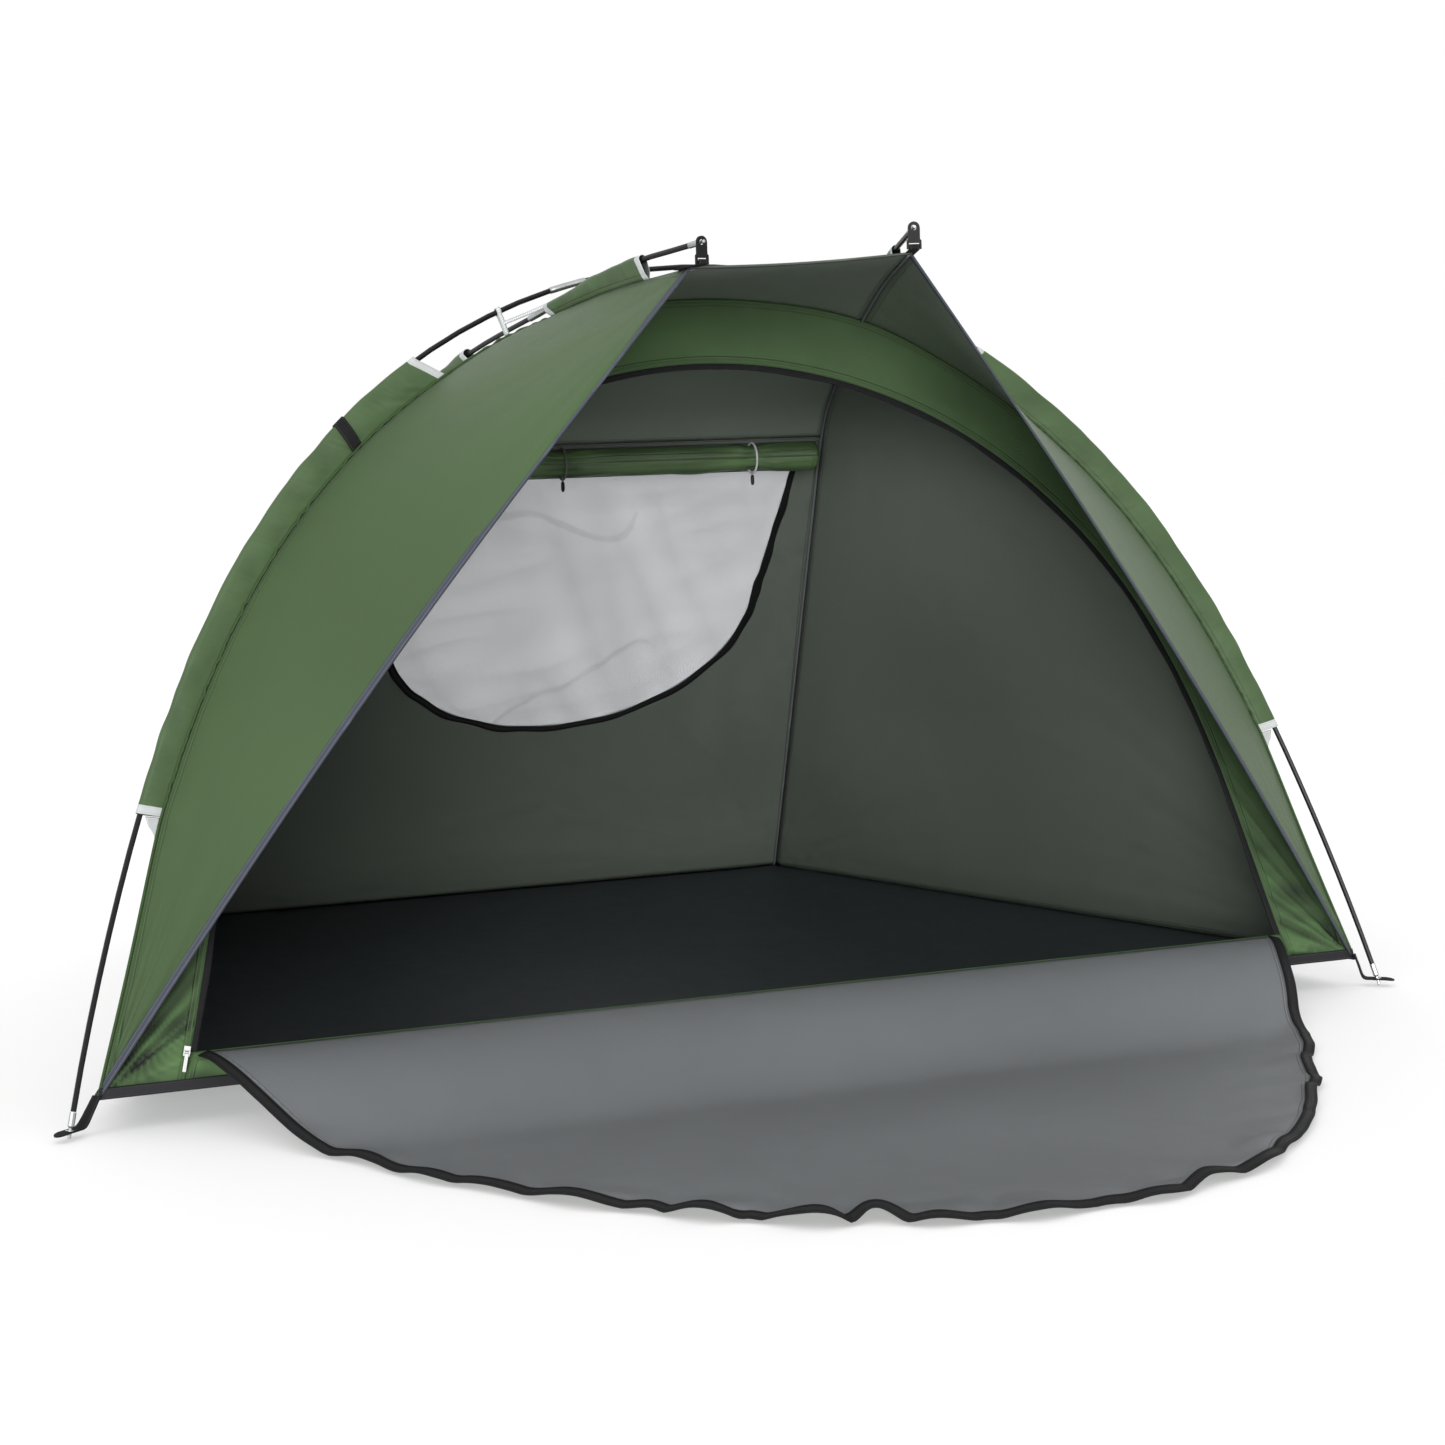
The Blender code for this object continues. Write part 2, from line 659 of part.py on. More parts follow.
def slider_frame():
    """Frame of the zip slider at rest: Y along the zip, Z out of the front wall."""
    low, high = math.pi - math.radians(6.6), math.pi - math.radians(23.0)
    start = doorway_point(low, inset=-0.006, out=0.0022)
    return facing(start, Vector((1, 0, 0)), doorway_point(high, inset=-0.006, out=0.0022) - start)


def block(shape, size, centre):
    made = bmesh.ops.create_cube(shape, size=1.0)["verts"]
    bmesh.ops.scale(shape, vec=size, verts=made)
    bmesh.ops.translate(shape, vec=centre, verts=made)


def mesh_from(name, shape, place, stuff, collection=TENT):
    shape.transform(place)
    data = bpy.data.meshes.new(name)
    shape.to_mesh(data)
    shape.free()
    return add(name, data, stuff, collection)


def join_on(thing, other):
    other.hide_render = True
    other.display_type = "WIRE"
    union = thing.modifiers.new("Join", "BOOLEAN")
    union.operation = "UNION"
    union.object = other


PULL_AXLE_OUT = 0.0075            # the pull's axle, in front of the slider's back


def build_zip(metal):
    """The slider, with two cheeks that hold an axle, and the pull that swings on it."""
    place = slider_frame()
    body = bmesh.new()
    block(body, (0.009, 0.014, 0.004), (0, 0, 0.002))
    slider = mesh_from("zip_slider", body, place, metal)
    for word, x in (("left", -0.0036), ("right", 0.0036)):
        cheek = bmesh.new()
        block(cheek, (0.0014, 0.005, 0.007), (x, -0.002, 0.0055))
        join_on(slider, mesh_from(f"{word}_cheek", cheek, place, metal, CUTTERS))
    turned = Matrix.Rotation(math.pi / 2, 4, "Y")
    axle_at = Matrix.Translation((0, -0.002, PULL_AXLE_OUT))
    axle = cylinder_cutter("axle", place @ axle_at @ turned, 0.0008, 0.0066, metal)
    join_on(slider, axle)
    tab = bmesh.new()
    block(tab, (0.0048, 0.026, 0.0016), (0, -0.016, PULL_AXLE_OUT))
    pull = mesh_from("zip_pull", tab, place, metal)
    barrel = cylinder_cutter("barrel", place @ axle_at @ turned, 0.0022, 0.0050, metal)
    join_on(pull, barrel)
    bore = cylinder_cutter("bore", place @ axle_at @ turned, 0.0013, 0.0080, metal)
    cut(pull, bore)


def build_flap_holders(roll_centre, tape, plastic):
    """Elastic loops round the rolled flap, each closed by a toggle that hangs below it."""
    up = (back_plane().to_3x3() @ Vector((0, 1, 0))).normalized()
    inward = (back_plane().to_3x3() @ Vector((0, 0, 1))).normalized()
    for word, across in LOOP_PLACES.items():
        centre = Vector((across, roll_centre.y, roll_centre.z))
        spots = []
        for k in range(20):
            turn = 2 * math.pi * k / 20
            radius = ROLL_RADIUS + 0.0026
            spots.append(centre + (up * math.cos(turn) + inward * math.sin(turn)) * radius)
        rod(f"flap_loop_{word}", spots, [0.0012] * 20, tape, resolution=1, closed=True)
        low = centre - Vector((0, 0, ROLL_RADIUS + 0.0042))
        ends = [low - Vector((0, 0, drop)) for drop in (0.0, 0.004, 0.014, 0.018)]
        rod(f"flap_toggle_{word}", ends, [0.0018, 0.0034, 0.0034, 0.0020], plastic)


def main():
    clear_scene()
    green = material("green_cloth", GREEN, 0.62)
    coated = material("coated_cloth", COATED, 0.55)
    door_cloth = material("door_cloth", DOOR_GREY, 0.50)
    floor_cloth = material("floor_cloth", FLOOR_BLACK, 0.55)
    window_net = material("window_net", MESH_GREY, 0.80)
    black_web = material("black_webbing", BLACK, 0.85)
    black_plastic = material("black_plastic", BLACK, 0.40)
    fibre = material("fibreglass", BLACK, 0.35)
    tape = material("white_tape", TAPE_WHITE, 0.80)
    metal = material("metal", METAL, 0.30, 1.0)

    build_poles(fibre, metal)
    build_wings(green)
    build_side_walls(green)
    seam_at = build_top(green)
    build_front(green, black_web)
    roll_centre = build_back(coated, window_net, green, seam_at)
    build_floor(floor_cloth)
    build_door(door_cloth)
    build_sleeves(green)
    build_feet(black_web)
    build_visor_fittings(black_plastic, black_web)
    build_ties(tape, black_web)
    build_zip(metal)
    build_flap_holders(roll_centre, tape, black_plastic)


main()
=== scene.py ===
"""Looks of a green beach shelter tent: its cloth, tapes, zips, poles and fittings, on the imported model.

Metres, +Z up, +X to the right of someone facing the doorway, +Y towards the back.
"""

import math

import bmesh
import bpy
from mathutils import Matrix, Vector, noise


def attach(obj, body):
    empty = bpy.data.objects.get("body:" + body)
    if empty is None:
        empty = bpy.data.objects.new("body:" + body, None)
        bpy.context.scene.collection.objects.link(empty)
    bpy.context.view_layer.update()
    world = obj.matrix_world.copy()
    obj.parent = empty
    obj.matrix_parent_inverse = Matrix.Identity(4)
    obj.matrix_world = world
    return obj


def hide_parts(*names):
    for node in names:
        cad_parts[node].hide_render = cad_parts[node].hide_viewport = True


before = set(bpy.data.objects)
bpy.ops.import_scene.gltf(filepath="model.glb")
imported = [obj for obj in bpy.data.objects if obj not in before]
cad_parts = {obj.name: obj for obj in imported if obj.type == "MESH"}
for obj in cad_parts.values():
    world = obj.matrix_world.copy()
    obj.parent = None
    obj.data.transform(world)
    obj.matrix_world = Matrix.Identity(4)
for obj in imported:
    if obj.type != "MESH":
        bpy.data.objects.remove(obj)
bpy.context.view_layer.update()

bl_info = {
    "name": "Beach Shelter Looks",
    "version": (1, 0, 0),
    "blender": (4, 5, 0),
    "location": "View3D > Sidebar > Shelter",
    "description": "Sews the cloth of a beach shelter over its packed frame",
    "category": "Object",
}

# The tent's lines

HALF_FEET = 1.05
FOOT_LINE = -0.40635
HOOP_LEAN = math.radians(13.3)
HOOP_SHAPE = (1.0, -0.231, 0.348, 0.053)
DOORWAY_REACH = 0.904
DOORWAY_SHAPE = (1.0, -0.285, 0.687, -0.2155)
SEAM_LOW, SEAM_TOP_EXTRA, LEG_HOLLOW = 0.0285, 0.0230, 0.008
HEM_UP, SILL_UP = 0.050, 0.100
RIDGE_SEAM = (
    (-0.165, 1.168), (0.050, 1.146), (0.262, 1.107), (0.420, 1.066), (0.555, 1.016),
    (0.680, 0.967), (0.780, 0.893), (0.900, 0.766), (1.260, 0.390), (1.630, 0.006),
)
CROSSING, BACK_SEAM = (0.262, 1.107), (0.740, 0.925)
RIDGE_HALF_FRONT, RIDGE_HALF_BACK, RIGHT_PEAK_RISE = 0.166, 0.610, 0.009
BACK_HALF_TOP = 0.395
FRONT_OVERHANG, TIP_LONG, PIN_LONG = 0.026, 0.022, 0.014
LEG_ANGLE, SLEEVE_END_ANGLE = math.radians(25.5), math.radians(67.0)
WINDOW_HALF, WINDOW_LOW, WINDOW_ROUND, WINDOW_TOP = 0.352, 0.536, 0.325, 1.215
ROLL_RADIUS, ROLL_HALF, ROLL_UP, ROLL_IN = 0.0250, 0.366, 1.264, 0.033
LOOP_PLACES = {"left": -0.100, "right": 0.250}
DOOR_HALF, DOOR_REACH, DOOR_FULL, DOOR_BLUNT = 0.830, 0.905, 1.4, 2.0
DOOR_CORNER, DOOR_SKEW, DOOR_DROP, RIM_REACH = 0.036, 0.036, 0.17, 0.06
WING_BOW = 0.024
TIE_ANGLE, TIE_LIFT = math.radians(76.55), 0.0082
CROSSING_TIE_ANGLE, SLEEVE_STRAP_ANGLE = math.radians(74.3), math.radians(59.5)
PIN_UP = 0.011
HEM_ANGLE = math.asin(HEM_UP / (HALF_FEET - SEAM_LOW))


def at(across, back, up):
    return Vector((across, back + FOOT_LINE, up))


def on_front(across, up, out=0.0):
    """A point of the leaning front wall, and this far in front of it."""
    lean_back = up * math.sin(HOOP_LEAN) - out * math.cos(HOOP_LEAN)
    return at(across, lean_back, up * math.cos(HOOP_LEAN) + out * math.sin(HOOP_LEAN))


def arch_point(angle, foot_reach, shape, inset=0.0, out=0.0):
    sine = math.sin(angle)
    reach = foot_reach * sum(k * sine**power for power, k in enumerate(shape)) - inset
    return on_front(reach * math.cos(angle), reach * sine, out)


def hoop_point(angle, inset=0.0):
    return arch_point(angle, HALF_FEET, HOOP_SHAPE, inset)


def hoop_seam(angle, more=0.0, out=0.0):
    """The seam below the hoop, pulled up where the ties lift it to the crossing poles."""
    sine = math.sin(angle)
    steep = math.asin(min(sine, 1.0))
    hollow = LEG_HOLLOW * math.sin(math.pi * steep / LEG_ANGLE) if steep < LEG_ANGLE else 0.0
    lifted = TIE_LIFT * math.exp(-(((steep - TIE_ANGLE) / 0.11) ** 2))
    inset = SEAM_LOW + SEAM_TOP_EXTRA * sine**3 + hollow - lifted
    return arch_point(angle, HALF_FEET, HOOP_SHAPE, inset + more, out)


def doorway_point(angle, inset=0.0, out=0.0):
    return arch_point(angle, DOORWAY_REACH, DOORWAY_SHAPE, inset, out)


def mirrored(point, side):
    return Vector((point.x * side, point.y, point.z))


def catmull(points, steps):
    ends = [points[0] * 2 - points[1], *points, points[-1] * 2 - points[-2]]
    made = []
    for a, b, c, d in zip(ends, ends[1:], ends[2:], ends[3:]):
        for step in range(steps):
            t = step / steps
            made.append(0.5 * (2 * b + (c - a) * t + (2 * a - 5 * b + 4 * c - d) * t**2
                               + (3 * b - a - 3 * c + d) * t**3))
    return [*made, points[-1].copy()]


class Route:
    """A line in space that is read by distance along it."""

    def __init__(self, points):
        self.points = points
        self.far = [0.0]
        for a, b in zip(points, points[1:]):
            self.far.append(self.far[-1] + (b - a).length)
        self.length = self.far[-1]

    def at(self, distance):
        spot = min(max(distance, 0.0), self.length)
        low, high = 0, len(self.far) - 1
        while high - low > 1:
            middle = (low + high) // 2
            low, high = (middle, high) if self.far[middle] <= spot else (low, middle)
        span = max(self.far[high] - self.far[low], 1e-9)
        return self.points[low].lerp(self.points[high], (spot - self.far[low]) / span)

    def direction(self, distance, reach=0.004):
        return (self.at(distance + reach) - self.at(distance - reach)).normalized()

    def nearest(self, point):
        best = min(range(len(self.points)), key=lambda k: (self.points[k] - point).length)
        return self.far[best]


def ridge_half(back):
    front, last = RIDGE_SEAM[0][0], RIDGE_SEAM[-1][0]
    return RIDGE_HALF_FRONT + (back - front) / (last - front) * (RIDGE_HALF_BACK - RIDGE_HALF_FRONT)


class Ridge:
    """One ridge of the tent: the seam its cloth is sewn along and the pole that rides above it."""

    def __init__(self, side):
        rises = [side * RIGHT_PEAK_RISE * max(0.0, 1 - (y - RIDGE_SEAM[0][0]) / 0.4)
                 for y, z in RIDGE_SEAM]
        self.seam = Route(catmull([
            at(side * ridge_half(y), y, z + rise) for (y, z), rise in zip(RIDGE_SEAM, rises)
        ], 12))
        self.crossing = self.seam.nearest(at(side * ridge_half(CROSSING[0]), *CROSSING))
        length = self.seam.length
        points = [self.over(length * k / 100) for k in range(101)]
        first = (points[0] - points[1]).normalized()
        last = (points[-1] - points[-2]).normalized()
        ground_end = points[-1] + last * (points[-1].z / -last.z)
        self.pole = Route([points[0] + first * FRONT_OVERHANG, *points, ground_end])

    def over(self, spot, least=0.013, most=0.030, ease=0.35):
        """The pole's centre above this place on the seam."""
        ahead = self.seam.direction(spot)
        upright = Vector((0, 0, 1)) - ahead * ahead.z
        away = min(1.0, abs(spot - self.crossing) / ease)
        clear = least + (most - least) * away * away * (3 - 2 * away)
        return self.seam.at(spot) + upright.normalized() * clear


RIDGES = {-1: Ridge(-1), 1: Ridge(1)}
SIDES = {"left": -1, "right": 1}
HOOP = Route([hoop_point(math.pi * k / 240) for k in range(241)])
CROSSING_ANGLE = min((math.radians(60 + k / 20) for k in range(600)),
                     key=lambda a: abs(hoop_seam(a).x - ridge_half(CROSSING[0])))
BACK_SEAM_RUN = RIDGES[1].seam.nearest(at(ridge_half(BACK_SEAM[0]), *BACK_SEAM))


def seam_down(share, side):
    """The hoop seam from the ridge crossing down to the hem corner."""
    return mirrored(hoop_seam(CROSSING_ANGLE + (HEM_ANGLE - CROSSING_ANGLE) * share), side)


def facing(origin, across, up):
    up = up.normalized()
    across = (across - up * across.dot(up)).normalized()
    return Matrix.Translation(origin) @ Matrix((across, up, across.cross(up))).transposed().to_4x4()


BACK_FOOT, BACK_HIGH = at(0, *RIDGE_SEAM[-1]), at(0, *RIDGE_SEAM[-3])
BACK_PLANE = facing(BACK_FOOT, Vector((1, 0, 0)), BACK_HIGH - BACK_FOOT)


# Shaders

class Value:
    """One number of a shader. Sums of values add their Math nodes."""

    def __init__(self, look, socket):
        self.look, self.socket = look, socket

    def __add__(self, other):
        return self.look.math("ADD", self, other)

    def __sub__(self, other):
        return self.look.math("SUBTRACT", self, other)

    def __rsub__(self, other):
        return self.look.math("SUBTRACT", other, self)

    def __mul__(self, other):
        return self.look.math("MULTIPLY", self, other)

    def __truediv__(self, other):
        return self.look.math("DIVIDE", self, other)

    __radd__, __rmul__ = __add__, __mul__

    def below(self, other):
        return self.look.math("LESS_THAN", self, other)

    def sine(self):
        return self.look.math("SINE", self)

    def size(self):
        return self.look.math("ABSOLUTE", self)

    def rise(self, low, high):
        """0 below low, 1 above high and smooth between."""
        made = self.look.node("ShaderNodeMapRange", {"interpolation_type": "SMOOTHSTEP"},
                              {"Value": self, "From Min": low, "From Max": high})
        return Value(self.look, made.outputs["Result"])

    def repeat(self, step):
        """How far past the last whole step."""
        return self.look.math("MODULO", self, step)


class Look:
    """One procedural material while its nodes are joined."""

    def __init__(self, name, roughness, **constants):
        self.material = bpy.data.materials.new(name)
        self.material.use_nodes = True
        self.tree = self.material.node_tree
        self.shader = self.tree.nodes["Principled BSDF"]
        for socket, value in {"Roughness": roughness, **constants}.items():
            self.shader.inputs[socket.replace("_", " ")].default_value = value
        self.place = self.node("ShaderNodeTexCoord").outputs["Object"]

    def node(self, kind, settings=None, values=None):
        made = self.tree.nodes.new(kind)
        for key, value in (settings or {}).items():
            setattr(made, key, value)
        for key, value in (values or {}).items():
            socket = value.socket if isinstance(value, Value) else value
            if isinstance(socket, bpy.types.NodeSocket):
                self.tree.links.new(socket, made.inputs[key])
            else:
                made.inputs[key].default_value = socket
        return made

    def math(self, operation, *values):
        made = self.node("ShaderNodeMath", {"operation": operation}, dict(enumerate(values)))
        return Value(self, made.outputs["Value"])

    def noise(self, scale, detail=2.0, where=None, rough=0.5):
        made = self.node("ShaderNodeTexNoise", {}, {"Vector": where or self.place, "Scale": scale,
                                                    "Detail": detail, "Roughness": rough})
        return Value(self, made.outputs["Fac"])

    def stretched(self, scale):
        """Object coordinates, stretched to make streaks."""
        made = self.node("ShaderNodeMapping", {}, {"Vector": self.place, "Scale": scale})
        return made.outputs["Vector"]

    def attribute(self, name):
        made = self.node("ShaderNodeAttribute", {"attribute_name": name})
        return Value(self, made.outputs["Fac"])

    def lengths(self):
        """Distances across and along the cloth, in metres, from the piece's own UV map."""
        uv = self.node("ShaderNodeUVMap", {"uv_map": "cloth"}).outputs["UV"]
        split = self.node("ShaderNodeSeparateXYZ", {}, {"Vector": uv})
        return Value(self, split.outputs["X"]), Value(self, split.outputs["Y"])

    def mix(self, factor, low, high, blend="MIX"):
        made = self.node("ShaderNodeMix", {"data_type": "RGBA", "blend_type": blend},
                         {0: factor, 6: low, 7: high})
        return made.outputs[2]

    def feed(self, socket, value):
        source = value.socket if isinstance(value, Value) else value
        self.tree.links.new(source, self.shader.inputs[socket])

    def bump(self, height, metres, strength=1.0):
        made = self.node("ShaderNodeBump", {},
                         {"Height": height, "Distance": metres, "Strength": strength})
        self.feed("Normal", made.outputs["Normal"])

    def shaded(self, colour, amount):
        """A colour made lighter or darker by a value."""
        return self.mix(1.0, (*colour, 1.0), amount.socket, "MULTIPLY")


STITCH_GAP = 0.0011
FOLD_START, FOLD_GROOVE, FOLD_END = 0.0105, 0.0115, 0.0120
STITCH_ROWS = (0.0040, 0.0092)
NET_STEP = 0.0016
TAPED_END = (0.0125, 0.0135)
SLEEVE_SEAM = 0.0085


def dashes(along, across, line, wide=0.0010, stitch=0.0042):
    """A row of stitches this far across, as a mask."""
    on_line = (across - line).size().below(wide / 2)
    return on_line * (1 - along.repeat(stitch).below(STITCH_GAP))


def cloth_look(name, colour, thread, roughness, crinkle=0.35, weave=0.0009, fold_shade=0.12, streaks_and_sheen=0.08,
               **constants):
    """Woven, coated polyester: weave, streaks, crinkles, painted shade and light over its folds, and
    stitched seams along its sewn edges.
    """
    look = Look(name, roughness, **constants)
    across, along = look.lengths()
    seam = look.attribute("seam")
    yarn = (across * (math.tau / weave)).sine() * (along * (math.tau / weave)).sine()
    broad = look.noise(2.2, 3.0)
    # The streak noise is random tone; where it is strong, it paints sheen.
    streak = look.noise(9.0, 4.0, look.stretched((1.0, 1.0, 0.25)))
    crush = look.noise(28.0, 4.0, rough=0.62)
    depth = look.attribute("depth")
    fold = 1 - seam.rise(FOLD_START, FOLD_END)
    groove = 1 - (seam - FOLD_GROOVE).size().rise(0.0, 0.0014)
    inner_row, outer_row = [dashes(across + along, seam, row) for row in STITCH_ROWS]
    stitches = inner_row + outer_row
    # The depth term paints shade into the relief's hollows and light onto its ridges.
    shade = (0.86 + broad * 0.16 + streak * streaks_and_sheen + crush * 0.06 + depth * fold_shade - fold * 0.20
             - groove * 0.34)
    tinted = look.shaded(colour, shade)
    look.feed("Base Color", look.mix(stitches * 0.8, tinted, (*thread, 1.0)))
    look.feed("Roughness", roughness - 0.08 + crush * 0.12 + broad * 0.05)
    height = yarn * 0.10 + crush * crinkle + fold * 0.45 - groove * 0.5 + stitches * 0.3
    look.bump(height, 0.0012, 0.8)
    return look.material


def net_look(name, colour):
    """Fine knitted net: threads too close to count, with holes between them."""
    look = Look(name, 0.85, Specular_IOR_Level=0.2)
    across, along = look.lengths()
    thread, weft = [(way.repeat(NET_STEP) - NET_STEP / 2).size().rise(NET_STEP * 0.20, NET_STEP * 0.36)
                    for way in (across, along)]
    soft = look.noise(5.0, 3.0)
    depth = look.attribute("depth")
    covered = look.math("MAXIMUM", thread, weft)
    line = 1 - (look.noise(2.6, 1.0, look.stretched((1.0, 1.0, 0.6))) - 0.5).size().rise(0.0, 0.012)
    line = line * look.noise(3.5, 1.0).rise(0.42, 0.62)
    # The depth terms paint shade into the net's hollows and light onto its ridges, and line paints darker,
    # denser crease lines.
    look.feed("Base Color", look.shaded(colour, 0.88 + soft * 0.1 + depth * 0.07 - line * 0.10))
    look.feed("Alpha", 0.34 + covered * 0.30 - depth * 0.018 + line * 0.05)
    look.bump(soft * 0.6 + covered * 0.12, 0.002, 0.5)
    return look.material


def webbing_look(name, colour, thread, roughness, rib=0.0016):
    """Flat woven tape: ribs across it, a selvedge and stitches along both sides."""
    look = Look(name, roughness, Specular_IOR_Level=0.15)
    across, along = look.lengths()
    seam = look.attribute("seam")
    ribs = ((along + across * 0.5) * (math.tau / rib)).sine() * 0.5 + 0.5
    fuzz = look.noise(90.0, 3.0)
    worn = look.noise(14.0, 3.0).rise(0.55, 0.75) * (1 - seam.rise(0.0, 0.003))
    stitches = dashes(along, seam, 0.0022, 0.0009, 0.0032)
    shade = 0.72 + ribs * 0.22 + fuzz * 0.25 + worn * 0.5
    look.feed("Base Color", look.mix(stitches * 0.75, look.shaded(colour, shade), (*thread, 1.0)))
    look.feed("Roughness", roughness - 0.05 + fuzz * 0.1)
    look.bump(ribs * 0.35 + fuzz * 0.2 + stitches * 0.3, 0.0007, 0.8)
    return look.material


def zip_look(name, colour, metal):
    """A coil zip: knitted tape with a row of small teeth along the middle."""
    look = Look(name, 0.7, Specular_IOR_Level=0.15)
    across, along = look.lengths()
    seam = look.attribute("seam")
    teeth = seam.rise(0.0042, 0.0052) * ((along * (math.tau / 0.0022)).sine() * 0.5 + 0.5)
    fuzz = look.noise(110.0, 2.0)
    look.feed("Base Color", look.mix(teeth * 0.35, look.shaded(colour, 0.75 + fuzz * 0.5), (*metal, 1.0)))
    look.feed("Roughness", 0.72 - teeth * 0.3)
    look.bump(teeth * 0.9 + fuzz * 0.15, 0.0009, 0.9)
    return look.material


def rod_look(name, colour, roughness=0.30):
    """Wrapped glass fibre: satin, with lengthwise drawing marks and a little dust."""
    look = Look(name, roughness, Specular_IOR_Level=0.22)
    wrap = look.noise(70.0, 3.0, look.stretched((1.0, 1.0, 0.15)))
    dust = look.noise(18.0, 4.0).rise(0.55, 0.8)
    look.feed("Base Color", look.shaded(colour, 0.8 + wrap * 0.5 + dust * 0.5))
    look.feed("Roughness", roughness + wrap * 0.12 + dust * 0.15)
    look.bump(wrap, 0.0003, 0.4)
    return look.material


def metal_look(name, colour, roughness=0.30, fine=160.0):
    """Bare metal with fine scratches, dulled in places."""
    look = Look(name, roughness, Metallic=1.0)
    scratch = look.noise(fine, 4.0, look.stretched((1.0, 1.0, 0.2)))
    dull = look.noise(30.0, 3.0)
    look.feed("Base Color", look.shaded(colour, 0.8 + scratch * 0.2 + dull * 0.15))
    look.feed("Roughness", roughness - 0.08 + scratch * 0.2 + dull * 0.12)
    look.bump(scratch, 0.0002, 0.4)
    return look.material


def plastic_look(name, colour, roughness=0.42):
    """Moulded nylon: a fine spark-eroded grain and lighter rubbed places."""
    look = Look(name, roughness, Specular_IOR_Level=0.18)
    grain = look.noise(900.0, 2.0)
    rubbed = look.noise(60.0, 3.0).rise(0.58, 0.75)
    look.feed("Base Color", look.shaded(colour, 0.8 + grain * 0.3 + rubbed * 0.7))
    look.feed("Roughness", roughness + grain * 0.12 - rubbed * 0.1)
    look.bump(grain, 0.0002, 0.5)
    return look.material


def sleeve_look(name, green, tape):
    """Sleeve cloth, with pale tape round both ends."""
    look = Look(name, 0.5, Specular_IOR_Level=0.3, Sheen_Weight=0.08, Sheen_Roughness=0.4)
    across, along = look.lengths()
    end = look.attribute("seam")
    bound = 1 - end.rise(*TAPED_END)
    crush = look.noise(34.0, 4.0, rough=0.62)
    broad = look.noise(3.0, 3.0)
    ribs = (along * (math.tau / 0.0014)).sine() * 0.5 + 0.5
    stitches = dashes(across, end, 0.0030) + dashes(across, end, 0.0105)
    depth = look.attribute("depth")
    seam_line = 1 - (across - SLEEVE_SEAM).size().rise(0.0004, 0.0012)
    # The depth term paints shade into the puckers and light onto their ridges; the crush term is random
    # tone and painted shade over the crumples.
    shade = 0.80 + broad * 0.18 + crush * 0.18 + depth * 0.40 - seam_line * 0.25
    cloth = look.shaded(green, shade)
    pale = look.shaded(tape, 0.85 + crush * 0.3)
    colour = look.mix(bound, cloth, pale)
    look.feed("Base Color", look.mix(stitches * 0.5, colour, (0.30, 0.31, 0.30, 1.0)))
    look.feed("Roughness", 0.45 + crush * 0.12 + bound * 0.25)
    look.bump(crush * 0.5 + bound * 0.6 + ribs * 0.06 - seam_line * 0.4, 0.0012, 0.8)
    return look.material


LOOKS = {}


# Cloth

def piece_from(shape, name, looks, body, stands_for=(), sharp=None):
    """Ends a bmesh: its object, its looks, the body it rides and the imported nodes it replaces."""
    data = bpy.data.meshes.new(name)
    shape.to_mesh(data)
    shape.free()
    data.shade_smooth()
    if sharp:
        data.set_sharp_from_angle(angle=sharp)
    piece = bpy.data.objects.new(name, data)
    bpy.context.scene.collection.objects.link(piece)
    for look in looks:
        data.materials.append(LOOKS[look])
    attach(piece, body)
    if stands_for:
        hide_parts(*stands_for)
    return piece


STILL_BAND = 0.012
# Scales the relief's height into the depth attribute, which the looks use for painted shade in hollows and
# painted light on ridges.
FOLD_SHADE_GAIN = 250


